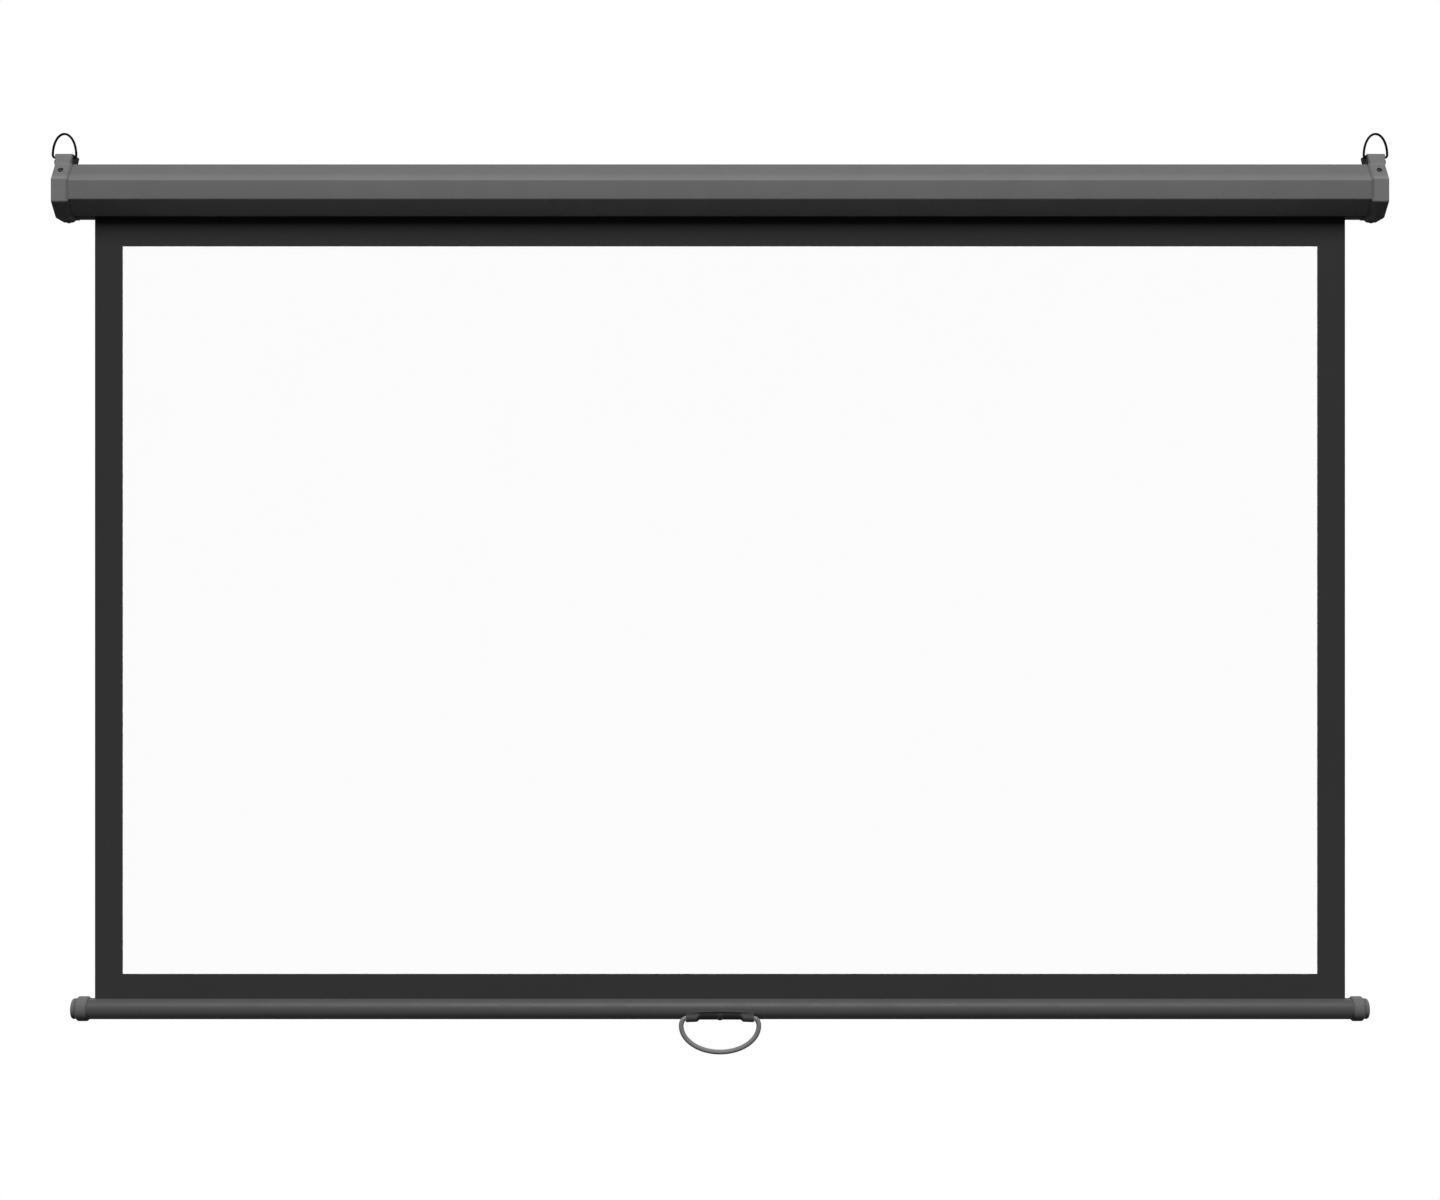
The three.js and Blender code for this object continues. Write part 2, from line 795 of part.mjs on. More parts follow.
// A pawl in its engaged place, but with its pin at the origin.
function pawl(degrees) {
  const pin = polar(pawlOrbit, degrees);
  const root = besideTooth(degrees, toothRootOrbit, 0);
  const across = root.clone().sub(pin).normalize();
  const side = new THREE.Vector2(-across.y, across.x).multiplyScalar(pawlArmWidth / 2);
  const arm = [
    pin.clone().sub(side),
    root.clone().sub(side),
    root.clone().add(side),
    pin.clone().add(side),
  ];
  const tooth = [
    besideTooth(degrees, toothTipRadius, -halfTooth),
    besideTooth(degrees, toothRootOrbit + pawlArmWidth / 2, -halfTooth),
    besideTooth(degrees, toothRootOrbit + pawlArmWidth / 2, halfTooth),
    besideTooth(degrees, toothTipRadius, halfTooth),
  ];
  const eye = rod(pawlInner, pawlOuter, pawlEyeRadius, smallSides).translate(0, pin.x, pin.y);
  const hole = rod(
    pawlInner - cutOverrun,
    pawlOuter + cutOverrun,
    pawlPinRadius + runGap,
    smallSides,
  );
  const blank = join(
    eye,
    prism(new THREE.Shape(arm), pawlInner, pawlOuter),
    prism(new THREE.Shape(tooth), pawlInner, pawlOuter),
  );
  return cut(blank, hole.translate(0, pin.x, pin.y)).translate(0, -pin.x, -pin.y);
}

function pawlPin() {
  const headFace = pawlOuter + runGap;
  const pairs = [
    [rollerEnd + fitGap, 0],
    [rollerEnd + fitGap, pawlPinRadius],
    [headFace, pawlPinRadius],
    [headFace, pawlHeadRadius],
    [headFace + pawlHeadHeight, pawlHeadRadius],
    [headFace + pawlHeadHeight, 0],
  ];
  return turned(pairs, smallSides);
}

// Idler end, drawn for the right end on the roller's axis

function idlerPlug() {
  const bore = gudgeonRadius + fitGap;
  const noseEnd = bushFace - noseRoom;
  return turned([
    [plugInner, bore],
    [plugInner, plugRadius],
    [rollerEnd, plugRadius],
    [rollerEnd, rollerRadius],
    [flangeOuter, rollerRadius],
    [flangeOuter, noseRadius],
    [noseEnd, noseRadius],
    [noseEnd, bore],
    [plugInner, bore],
  ]);
}

function gudgeonPin() {
  return rod(rollerEnd - gudgeonInside, plateOuter - fitGap, gudgeonRadius);
}

// Roller, on its own axis

function fabricTape() {
  const sleeve = ring(
    -halfFabric,
    halfFabric,
    rollerRadius + fitGap,
    rollerRadius + fitGap + tapeThickness,
  );
  return common(sleeve, wedge(-halfFabric, halfFabric, wrapOuter, -tapeArc / 2, tapeArc / 2));
}

// Weight bar, on its own axis

function weightBar() {
  const reach = barEnd + cutOverrun;
  const slot = block(-reach, reach, -barSlotWidth / 2, barSlotWidth / 2, 0, barDiameter);
  const hole = screwHole(0, bracketScrewPlace, bracketShankRadius + runGap, -barDiameter / 2, 0);
  return cut(ring(-barEnd, barEnd, barInner, barRadius, barSides), slot, hole);
}

function bottomBorder() {
  const hem = ring(-halfFabric, halfFabric, hemInner, hemOuter).translate(0, 0, hemZ);
  const strip = block(
    -halfFabric,
    halfFabric,
    -fabricThickness / 2,
    fabricThickness / 2,
    hemZ + (hemInner + hemOuter) / 2,
    barRadius + bottomBand,
  );
  return join(hem, strip);
}

function barCap() {
  const sleeveInner = barRadius + fitGap;
  const sleeveStart = barEnd - barCapSleeve;
  const ringEnd = barEnd + barCapRing;
  const coneEnd = ringEnd + barCapCone;
  const tipEnd = coneEnd + barCapTip;
  const pairs = [
    [barEnd - barCapPlug, 0],
    [barEnd - barCapPlug, barInner - fitGap],
    [barEnd + fitGap, barInner - fitGap],
    [barEnd + fitGap, sleeveInner],
    [sleeveStart, sleeveInner],
    [sleeveStart, sleeveInner + barCapLip],
    [sleeveStart + barCapChamfer, barCapRadius],
    [ringEnd, barCapRadius],
    [coneEnd, barCapConeRadius],
    [coneEnd, barCapTipRadius],
    [tipEnd - barCapRounding, barCapTipRadius],
    [tipEnd, barCapTipRadius - barCapRounding],
    [tipEnd, 0],
  ];
  return turned(pairs, barSides);
}

// Handle bracket, round the weight bar's axis

const bracketOut = polar(1, bracketAngle);
const bracketScrewPlace = { seat: polar(padOuter, bracketAngle), out: bracketOut };

function bracketBoss() {
  const outer = bracketLength / 2;
  const inner = outer - bossLength;
  const centre = polar(bossOrbit, bracketAngle);
  const pairs = [
    [inner, 0],
    [inner, bossRadius - bossChamfer],
    [inner + bossChamfer, bossRadius],
    [outer, bossRadius],
    [outer, 0],
  ];
  return turned(pairs).translate(0, centre.x, centre.y);
}

function handleBracket() {
  const half = bracketLength / 2;
  const saddle = common(
    ring(-half, half, bracketInner, bracketOuter, barSides),
    wedge(-half, half, bracketOuter, bracketStart, bracketEnd),
  );
  const pad = screwHole(0, bracketScrewPlace, padRadius, -padRise - bracketWall, 0);
  const blank = join(saddle, bracketBoss(), mirrored(bracketBoss()), pad);
  const reach = half + cutOverrun;
  const centre = polar(bossOrbit, bracketAngle);
  const loopBore = rod(-reach, reach, loopHole, smallSides).translate(0, centre.x, centre.y);
  const shankRadius = bracketShankRadius + runGap;
  const screwBore = screwHole(0, bracketScrewPlace, shankRadius, -barRadius, cutOverrun);
  const middle = bracketLength / 2 - bossLength;
  const loopBores = cut(loopBore, block(-middle, middle, -barDiameter, barDiameter, -barDiameter, 0));
  return cut(blank, rod(-reach, reach, bracketInner, barSides), loopBores, screwBore);
}

// Assembly

const group = new THREE.Group();

function add(parent, name, geometry, material) {
  const mesh = new THREE.Mesh(geometry, material);
  mesh.name = name;
  parent.add(mesh);
  return mesh;
}

function addScrew(parent, name, geometry, x, { seat, out }) {
  const screw = add(parent, name, geometry, steel);
  screw.position.set(x, seat.x, seat.y);
  screw.rotation.x = Math.atan2(out.y, out.x);
}

// Case, caps and hangers
add(group, "case_shell", caseShell(), casePaint);
add(group, "left_end_cap", mirrored(endCap()), capPlastic);
add(group, "right_end_cap", endCap(), capPlastic);
const capScrew = panScrew(screwHeadRadius, screwHeadHeight, screwShankRadius, screwShankLength);
for (const [end, side] of [
  ["left", -1],
  ["right", 1],
]) {
  for (const [name, place] of Object.entries(screwPlaces)) {
    addScrew(group, `${end}_${name}_screw`, capScrew, side * screwX, place);
  }
  add(group, `${end}_hanger`, hanger(), blackWire).position.set(side * eyeX, eyeY, eyeZ);
}

// Roller and what carries it
const roller = new THREE.Group();
roller.position.y = rollerY;
group.add(roller);
add(group, "left_end_plate", mirrored(motorPlate()), castMetal);
add(group, "right_end_plate", idlerPlate(), castMetal);
add(roller, "idler_bush", idlerBush(), bronze);
add(roller, "spring_shaft", mirrored(springShaft()), steel);
add(roller, "ratchet_wheel", mirrored(ratchetWheel()), castMetal);
add(roller, "spring_anchor", mirrored(anchorCollar()), darkPlastic);
add(roller, "anchor_pin", mirrored(anchorPin()), steel);
add(roller, "torsion_spring", mirrored(torsionSpring()), springSteel);
add(roller, "roller_tube", ring(-rollerEnd, rollerEnd, tubeInner, rollerRadius), steel);
add(roller, "spring_end_plug", mirrored(drivenPlug()), castMetal);
add(roller, "shaft_steady", mirrored(steadyPlug()), darkPlastic);
add(roller, "idler_plug", idlerPlug(), darkPlastic);
add(roller, "gudgeon_pin", gudgeonPin(), steel);
add(roller, "fabric_tape", fabricTape(), adhesiveTape);
add(roller, "fabric_wraps", ring(-halfFabric, halfFabric, wrapInner, wrapOuter), blackFabric);
pawlAngles.forEach((degrees, i) => {
  const place = polar(pawlOrbit, degrees);
  const pin = add(roller, `pawl_pin_${i + 1}`, mirrored(pawlPin()), steel);
  const lever = add(roller, `pawl_${i + 1}`, mirrored(pawl(degrees)), steel);
  pin.position.set(0, place.x, place.y);
  lever.position.set(0, place.x, place.y);
  lever.rotation.x = radians(pawlSwing);
});

// Screen
const halfWhite = whiteWidth / 2;
const sheet = block(-halfFabric, halfFabric, fabricFront, fabricBack, whiteBottom, 0);
const coatFront = fabricFront - coatThickness;
const coat = block(-halfWhite, halfWhite, coatFront, fabricFront, whiteBottom, whiteTop);
add(group, "screen_fabric", sheet, blackFabric);
add(group, "projection_surface", coat, whiteFabric);

// Weight bar and handle
const bar = new THREE.Group();
bar.position.set(0, fabricY, barZ);
group.add(bar);
add(bar, "bottom_border", bottomBorder(), blackFabric);
add(bar, "hem_rod", rod(hemRodInset - halfFabric, halfFabric - hemRodInset, hemRodRadius), steel)
  .position.z = hemZ;
add(bar, "weight_bar", weightBar(), casePaint);
add(bar, "left_bar_cap", mirrored(barCap()), capPlastic);
add(bar, "right_bar_cap", barCap(), capPlastic);
add(bar, "handle_bracket", handleBracket(), darkPlastic);
const bracketScrew = panScrew(
  bracketHeadRadius,
  bracketHeadHeight,
  bracketShankRadius,
  bracketShankLength,
);
addScrew(bar, "bracket_screw", bracketScrew, 0, bracketScrewPlace);
const loop = add(bar, "pull_loop", pullLoop(), greyWire);
const loopPlace = polar(bossOrbit, bracketAngle);
loop.position.set(0, loopPlace.x, loopPlace.y);
loop.rotation.x = Math.PI;

export default group;
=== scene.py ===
import json
import math

import bpy
import numpy as np
from mathutils import Matrix, Vector

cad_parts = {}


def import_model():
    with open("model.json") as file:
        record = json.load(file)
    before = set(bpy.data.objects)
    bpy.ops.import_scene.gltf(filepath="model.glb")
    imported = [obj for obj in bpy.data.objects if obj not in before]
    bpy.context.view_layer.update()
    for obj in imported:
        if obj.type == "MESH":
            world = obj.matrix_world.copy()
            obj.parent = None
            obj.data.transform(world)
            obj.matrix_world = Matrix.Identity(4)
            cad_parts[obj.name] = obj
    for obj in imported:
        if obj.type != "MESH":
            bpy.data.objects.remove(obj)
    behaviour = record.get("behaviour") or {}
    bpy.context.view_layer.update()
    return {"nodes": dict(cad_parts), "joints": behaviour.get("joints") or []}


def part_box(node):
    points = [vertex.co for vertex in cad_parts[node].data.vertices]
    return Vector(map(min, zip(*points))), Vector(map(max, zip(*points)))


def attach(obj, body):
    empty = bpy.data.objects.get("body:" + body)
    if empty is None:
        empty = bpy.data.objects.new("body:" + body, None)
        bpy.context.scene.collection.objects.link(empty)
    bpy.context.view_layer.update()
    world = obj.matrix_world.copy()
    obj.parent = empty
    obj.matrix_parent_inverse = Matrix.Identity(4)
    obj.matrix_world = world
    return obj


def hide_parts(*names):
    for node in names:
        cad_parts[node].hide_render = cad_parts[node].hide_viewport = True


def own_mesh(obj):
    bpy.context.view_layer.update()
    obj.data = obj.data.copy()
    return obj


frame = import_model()

# Looks of the pull-down projection screen, in metres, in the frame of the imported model:
# X along the case, Y from the viewer to the wall, Z up.

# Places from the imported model
case_low, case_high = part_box("case_shell")
cap_low, cap_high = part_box("right_end_cap")
sheet_low, sheet_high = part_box("screen_fabric")
white_low, white_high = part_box("projection_surface")
border_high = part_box("bottom_border")[1]
bar_low, bar_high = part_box("weight_bar")
joint_places = {j["name"]: Vector(j["pos_m"]) for j in frame["joints"] if "pos_m" in j}
loop_axis = joint_places["handle_swing"]
hanger_axis = joint_places["right_hanger_swing"]
roller_axis = joint_places["roller_spin"]

# Case. Its painted shade on faces that look up starts between the two heights above its upper front
# fold, and leaves a painted sheen band along the fold.
case_wall = 0.0012
case_bevel_run = 0.017
case_upper_rise = 0.0225
case_lower_rise = 0.017
case_fold = 0.0025
case_sheen_band = (0.0035, 0.0105)
# How much the painted shade darkens faces that look up, on the case and the caps.
top_shade_amount = 0.2
slot_width = 0.010
lip_height = 0.004

# End caps
cap_proud = 0.003
cap_width = 0.020
cap_wall = 0.003
cap_bevel_run = 0.018
cap_upper_rise = 0.0243
cap_lower_rise = 0.0165
cap_fold = 0.0035
cap_rounding = 0.0016
# Heights above the cap's upper fold between which its painted shade on upward faces starts; the
# band below them is a painted sheen.
cap_sheen_band = (0.002, 0.005)
mouth_flush = 0.0002
mouth_end = 0.0035
mouth_low_flush = 0.0047
mouth_low_end = 0.0093
mouth_depth = 0.0025
lug_mouth_depth = 0.0006
mouth_steps = 6
cavity_gap = 0.0001
lug_front_inset = 0.0145
lug_lean = 0.003
lug_depth = 0.0285
lug_fillet = 0.014
lug_rounding = 0.0014
lug_flare = 0.0009
lug_flare_height = 0.006
rib_proud = 0.0015
rib_height = 0.005
eye_radius = 0.0016
cut_overrun = 0.002
hole_gap = 0.0002

# Cap screws
screw_inset = 0.009
counterbore_radius = 0.0035
counterbore_depth = 0.0016
counterbore_rim = 0.0001
shank_radius = 0.0015
shank_length = 0.009
hole_depth_share = 1.2
head_radius = 0.0025
head_height = 0.0019
bottom_screw_setback = 0.023

# Form of a pan-head screw, as shares of its shank's or head's radius and its head's height
shank_tip_share = 0.6
head_foot_share = 0.97
head_edge_share = 0.12
crown_share = 0.45
crown_inset_share = 0.42
crown_top_share = 1.02
crown_flat_share = 0.5
recess_length_share = 0.9
recess_width_share = 0.2
recess_foot_share = 0.5
recess_top_share = 1.1

# Wire hangers and pull loop
hanger_wire = 0.0028
hanger_width = 0.0308
hanger_rise = 0.0298
hanger_bend = 0.0032
hanger_reach = 0.006
loop_wire = 0.0058
loop_width = 0.0984
loop_drop = 0.0431
loop_corner_run = 0.0058
loop_corner_drop = 0.0087
loop_reach = 0.010
wire_end_share = 0.3

# Fabric
fabric_thickness = 0.0004
fabric_y = (sheet_low.y + sheet_high.y) / 2
half_fabric = sheet_high.x
wrap_turns = 1.54
wrap_drop = (0.56, 0.72)
wrap_rise = (1.36, 1.43)
layer_gap = 0.00002
thread_width = 0.00042

# Weight bar, its caps and the handle bracket
bar_radius = 0.0125
bar_wall = 0.0015
bar_slot_width = 0.003
bar_axis = Vector((0, fabric_y, bar_low.z + bar_radius))
hem_radius = 0.0033
hem_lift = 0.0072
hem_opening = 0.25
hem_seam_share = 1.25
hem_tail_share = 1.15
hem_tail_top_share = 0.98
bar_cap_radius = 0.01475
bar_cap_sleeve = 0.0084
bar_cap_lip = 0.0005
bar_cap_chamfer = 0.0019
bar_cap_ring = 0.0039
bar_cap_cone = 0.0034
bar_cap_cone_radius = 0.0128
bar_cap_tip = 0.0042
bar_cap_tip_radius = 0.0122
bar_cap_groove = 0.0012
bar_cap_rounding = 0.0016
bar_cap_edge = 0.0004
bar_cap_soft_edge = 0.0006
bar_cap_plug = 0.013
fit_gap = 0.0001
bracket_length = 0.081
bracket_wall = 0.0019
bracket_rounding = 0.0006
bracket_angle = math.radians(213)
bracket_top_angle = math.radians(178)
bracket_end_drop = math.radians(8)
bracket_low_angle = math.radians(234)
bead_height = 0.0007
bead_spread = math.radians(4.5)
boss_radius = 0.0046
boss_orbit = (loop_axis - bar_axis).length
boss_length = 0.015
boss_slope = 0.005
boss_taper_share = 0.12
skirt_height = 0.004
skirt_spread = math.radians(26)
bracket_head_radius = 0.004
bracket_head_height = 0.0014
bracket_shank_radius = 0.0018
bracket_shank_length = 0.008
bracket_bore_reach = 0.01
pad_radius = 0.0049
pad_rise = 0.0004

# Fineness of the shapes
corner_steps = 6
turned_corner_steps = 4
cap_edge_steps = 4
crown_steps = 8
quarter_steps = 12
straight_steps = 4
arch_steps = 96
hem_steps = 32
wrap_steps = 240
bar_steps = 120
bracket_stations = 96
bracket_steps = 64
sheet_columns = 60
sheet_rows = 38
white_rows = 36
round_sides = 96
small_sides = 48
loop_sides = 32
wire_sides = 20

# Degrees between two faces from which their edge stays sharp
crease = 32
soft_crease = 40
wire_crease = 50

# The sides of X and their names
ends = ((-1, "left"), (1, "right"))


# Mesh helpers

def add_mesh(name, points, faces, sharp=crease):
    mesh = bpy.data.meshes.new(name)
    mesh.from_pydata([tuple(point) for point in points], [], faces)
    mesh.validate()
    obj = bpy.data.objects.new(name, mesh)
    bpy.context.scene.collection.objects.link(obj)
    smooth(obj, sharp)
    return obj


def smooth(obj, sharp=crease):
    obj.data.shade_smooth()
    obj.data.set_sharp_from_angle(angle=math.radians(sharp))


def apply_modifiers(obj):
    evaluated = obj.evaluated_get(bpy.context.evaluated_depsgraph_get())
    mesh = bpy.data.meshes.new_from_object(evaluated)
    obj.modifiers.clear()
    obj.data = mesh


def boolean(obj, operation, *tools, sharp=crease):
    for tool in tools:
        modifier = obj.modifiers.new(operation, "BOOLEAN")
        modifier.operation = operation
        modifier.object = tool
        modifier.solver = "EXACT"
    apply_modifiers(obj)
    for tool in tools:
        bpy.data.objects.remove(tool)
    smooth(obj, sharp)


def even_normals(obj):
    """Keeps large flat faces evenly shaded beside small rounded ones."""
    modifier = obj.modifiers.new("even_normals", "WEIGHTED_NORMAL")
    modifier.keep_sharp = True
    modifier.weight = 100


def loft(name, loops, sharp=crease):
    """Joins loops of equally many points with faces, and closes the two ends."""
    count = len(loops[0])
    points = [point for loop in loops for point in loop]
    faces = []
    for i in range(len(loops) - 1):
        for j in range(count):
            k = (j + 1) % count
            faces.append((i * count + j, i * count + k, (i + 1) * count + k, (i + 1) * count + j))
    last = (len(loops) - 1) * count
    faces.append(tuple(range(count - 1, -1, -1)))
    faces.append(tuple(range(last, last + count)))
    obj = add_mesh(name, points, faces, sharp)
    face_out(obj)
    return obj


def face_out(obj):
    """Turns the faces of a closed mesh outwards."""
    mesh = obj.data
    mesh.calc_loop_triangles()
    volume = 0.0
    for triangle in mesh.loop_triangles:
        a, b, c = (mesh.vertices[i].co for i in triangle.vertices)
        volume += a.dot(b.cross(c))
    if volume < 0:
        mesh.flip_normals()


def mirror_x(obj, name):
    """A copy of a piece for the other end."""
    mesh = obj.data.copy()
    mesh.transform(Matrix.Scale(-1, 4, Vector((1, 0, 0))))
    mesh.flip_normals()
    copy = bpy.data.objects.new(name, mesh)
    bpy.context.scene.collection.objects.link(copy)
    for modifier in obj.modifiers:
        if modifier.type == "WEIGHTED_NORMAL":
            even_normals(copy)
    return copy


def rounded_path(corners, radii, closed=True, steps=corner_steps):
    """Points along an outline in two dimensions, with an arc of its radius at each corner."""
    count = len(corners)
    path = []
    for i, (corner, radius) in enumerate(zip(corners, radii)):
        corner = Vector(corner)
        if radius == 0 or (not closed and i in (0, count - 1)):
            path.append(corner)
            continue
        before = (Vector(corners[i - 1]) - corner).normalized()
        after = (Vector(corners[(i + 1) % count]) - corner).normalized()
        half_turn = (math.pi - before.angle(after)) / 2
        start = corner + before * radius * math.tan(half_turn)
        centre = corner + (before + after).normalized() * radius / math.cos(half_turn)
        arm = start - centre
        sign = 1 if before.x * after.y - before.y * after.x < 0 else -1
        for k in range(steps + 1):
            path.append(centre + turn(arm, sign * 2 * half_turn * k / steps))
    return path


def turn(arm, angle):
    c, s = math.cos(angle), math.sin(angle)
    return Vector((c * arm.x - s * arm.y, s * arm.x + c * arm.y))


def sides_of(path, closed):
    """Outward direction at each point of a path, to its right, lengthened at corners."""
    count = len(path)
    found = []
    for i, point in enumerate(path):
        before = point - path[i - 1] if closed or i > 0 else path[1] - point
        after = path[(i + 1) % count] - point if closed or i < count - 1 else before
        before, after = before.normalized(), after.normalized()
        right = Vector((before.y + after.y, -before.x - after.x))
        found.append(right / (1 + before.dot(after)))
    return found


def offset(path, distance, closed=True):
    return [p + side * distance for p, side in zip(path, sides_of(path, closed))]


def thicken(path, thickness):
    """A closed outline of even thickness along an open path."""
    there = offset(path, thickness / 2, closed=False)
    back = offset(path, -thickness / 2, closed=False)
    return there + back[::-1]


def at_x(outline, x):
    return [Vector((x, point.x, point.y)) for point in outline]


def edge_steps(radius, steps=3):
    """How far in and how much smaller each loop of a rounded end edge is."""
    if radius == 0:
        return [(0, 0)]
    angles = quarter_angles(steps)
    return [(radius * (1 - math.cos(a)), radius * (1 - math.sin(a))) for a in angles]


def quarter_angles(steps):
    return [math.pi / 2 * k / steps for k in range(steps + 1)]


def extrude_x(name, outline, from_x, to_x, rounding=0, sharp=crease):
    """An outline drawn in Y and Z, from one X to another, with its end edges rounded."""
    edge = edge_steps(rounding)
    loops = [at_x(offset(outline, -shrink), from_x + inset) for inset, shrink in edge]
    loops += [at_x(offset(outline, -shrink), to_x - inset) for inset, shrink in edge[::-1]]
    return loft(name, loops, sharp=sharp)


def frames_along(path):
    """Two directions across a path at each of its points, carried along without twist."""
    tangents = []
    for i in range(len(path)):
        ahead, behind = path[min(i + 1, len(path) - 1)], path[max(i - 1, 0)]
        tangents.append((ahead - behind).normalized())
    side = tangents[0].orthogonal().normalized()
    found = []
    for tangent in tangents:
        side = (side - tangent * side.dot(tangent)).normalized()
        found.append((tangent, side, tangent.cross(side)))
    return found


def tube(name, path, radius, sides=wire_sides):
    """A round wire along a path, with rounded end edges."""
    frames = frames_along(path)
    edge = edge_steps(radius * wire_end_share)
    stations = [(path[0], frames[0], inset, radius - shrink) for inset, shrink in edge]
    stations += [(point, axes, 0, radius) for point, axes in list(zip(path, frames))[1:-1]]
    stations += [(path[-1], frames[-1], -inset, radius - shrink) for inset, shrink in edge[::-1]]
    rings = []
    for point, (tangent, side, up), along, size in stations:
        centre = point + tangent * along
        ring = []
        for j in range(sides):
            angle = 2 * math.pi * j / sides
            ring.append(centre + (side * math.cos(angle) + up * math.sin(angle)) * size)
        rings.append(ring)
    return loft(name, rings, sharp=wire_crease)


def turned(name, pairs, place, sides=round_sides):
    """A body of revolution round its own X axis. Its [x, radius] pairs start and end on it."""
    angles = [2 * math.pi * j / sides for j in range(sides)]
    rings = []
    for x, radius in pairs[1:-1]:
        ring = [Vector((x, radius * math.cos(a), radius * math.sin(a))) for a in angles]
        rings.append([place @ point for point in ring])
    return loft(name, rings)


def rounded_pairs(pairs, radii):
    """The same turned profile with its corners rounded."""
    path = rounded_path(pairs, radii, closed=False, steps=turned_corner_steps)
    return [(point.x, max(point.y, 0)) for point in path]


def polar(radius, angle, centre):
    """A point in Y and Z round an axis; the angle starts at +Y and turns towards +Z."""
    return Vector((centre.y + radius * math.cos(angle), centre.z + radius * math.sin(angle)))


def soft_step(value, start, end):
    """0 up to the start, 1 from the end on, and a smooth rise between them."""
    share = min(max((value - start) / (end - start), 0), 1)
    return share * share * (3 - 2 * share)


def along_direction(origin, direction):
    """A place whose X axis lies along a direction."""
    rotation = Vector((1, 0, 0)).rotation_difference(direction).to_matrix().to_4x4()
    return Matrix.Translation(origin) @ rotation


# Material helpers

# No painted shade on upward faces: its amount is 0.
no_painted_shade = (0.0, 0.0, 1.0)

# Radians that a wave texture of scale 1 runs through in a metre
wave_rate = 20


def add_node(tree, kind, inputs=None, **settings):
    node = tree.nodes.new("ShaderNode" + kind)
    for key, value in settings.items():
        setattr(node, key, value)
    for name, value in (inputs or {}).items():
        if isinstance(value, bpy.types.NodeSocket):
            tree.links.new(value, node.inputs[name])
        else:
            node.inputs[name].default_value = value
    return node


def grey(level):
    return (level, level, level, 1)


def coordinates(tree, stretch=(1, 1, 1)):
    where = add_node(tree, "TexCoord").outputs["Object"]
    mapping = add_node(tree, "Mapping", {"Vector": where, "Scale": stretch})
    return mapping.outputs["Vector"]


def noise(tree, vector, scale, detail=2.0, roughness=0.5, distortion=0.0):
    inputs = {
        "Vector": vector,
        "Scale": scale,
        "Detail": detail,
        "Roughness": roughness,
        "Distortion": distortion,
    }
    return add_node(tree, "TexNoise", inputs).outputs["Fac"]


def spread(tree, value, low, high, from_low=0.3, from_high=0.7):
    """Maps a texture's middle range to a range of its own."""
    inputs = {
        "Value": value,
        "From Min": from_low,
        "From Max": from_high,
        "To Min": low,
        "To Max": high,
    }
    return add_node(tree, "MapRange", inputs).outputs["Result"]


def turned_aside(tree):
    """1 where a surface looks down or to an end, and 0 where it looks to the front, back or up."""
    normal = add_node(tree, "TexCoord").outputs["Normal"]
    parts = add_node(tree, "SeparateXYZ", {"Vector": normal})
    down = spread(tree, parts.outputs["Z"], 0.0, 1.0, from_low=-0.4, from_high=-0.95)
    across = math_node(tree, "ABSOLUTE", parts.outputs["X"], 0.0)
    endwise = spread(tree, across, 0.0, 1.0, from_low=0.5, from_high=0.95)
    return math_node(tree, "MAXIMUM", down, endwise)


def painted_top_shade(tree, amount, shade_from, shade_to):
    """Under 1 where painted shade darkens faces that look up, above the heights that leave a
    painted sheen band along the fold.
    """
    normal = add_node(tree, "TexCoord").outputs["Normal"]
    where = add_node(tree, "TexCoord").outputs["Object"]
    look_up = add_node(tree, "SeparateXYZ", {"Vector": normal}).outputs["Z"]
    height = add_node(tree, "SeparateXYZ", {"Vector": where}).outputs["Z"]
    facing = spread(tree, look_up, 0.0, 1.0, from_low=0.35, from_high=0.55)
    above = spread(tree, height, 0.0, 1.0, shade_from, shade_to)
    top_shade = math_node(tree, "MULTIPLY", facing, above)
    return spread(tree, top_shade, 1.0, 1.0 - amount, 0.0, 1.0)


def math_node(tree, operation, a, b):
    node = add_node(tree, "Math", operation=operation)
    for socket, value in zip(node.inputs, (a, b)):
        if isinstance(value, bpy.types.NodeSocket):
            tree.links.new(value, socket)
        else:
            socket.default_value = value
    return node.outputs["Value"]


def tinted(tree, color, *factors):
    """A colour made lighter and darker by textures that lie round 1."""
    factor = factors[0]
    for other in factors[1:]:
        factor = math_node(tree, "MULTIPLY", factor, other)
    scaled = add_node(tree, "VectorMath", operation="SCALE")
    scaled.inputs[0].default_value = color[:3]
    tree.links.new(factor, scaled.inputs["Scale"])
    return scaled.outputs["Vector"]


def bump(tree, height, distance, strength=1.0, normal=None):
    inputs = {"Height": height, "Distance": distance, "Strength": strength}
    if normal is not None:
        inputs["Normal"] = normal
    return add_node(tree, "Bump", inputs).outputs["Normal"]


def new_material(name, **settings):
    """A material with its Principled shader, whose plain values are set on its own sockets."""
    material = bpy.data.materials.new(name)
    material.use_nodes = True
    tree = material.node_tree
    shader = tree.nodes["Principled BSDF"]
    for key, value in settings.items():
        shader.inputs[key.replace("_", " ").title().replace("Ior", "IOR")].default_value = value
    return material, tree, shader


def connect(tree, shader, **sockets):
    for key, value in sockets.items():
        tree.links.new(value, shader.inputs[key.replace("_", " ").title()])


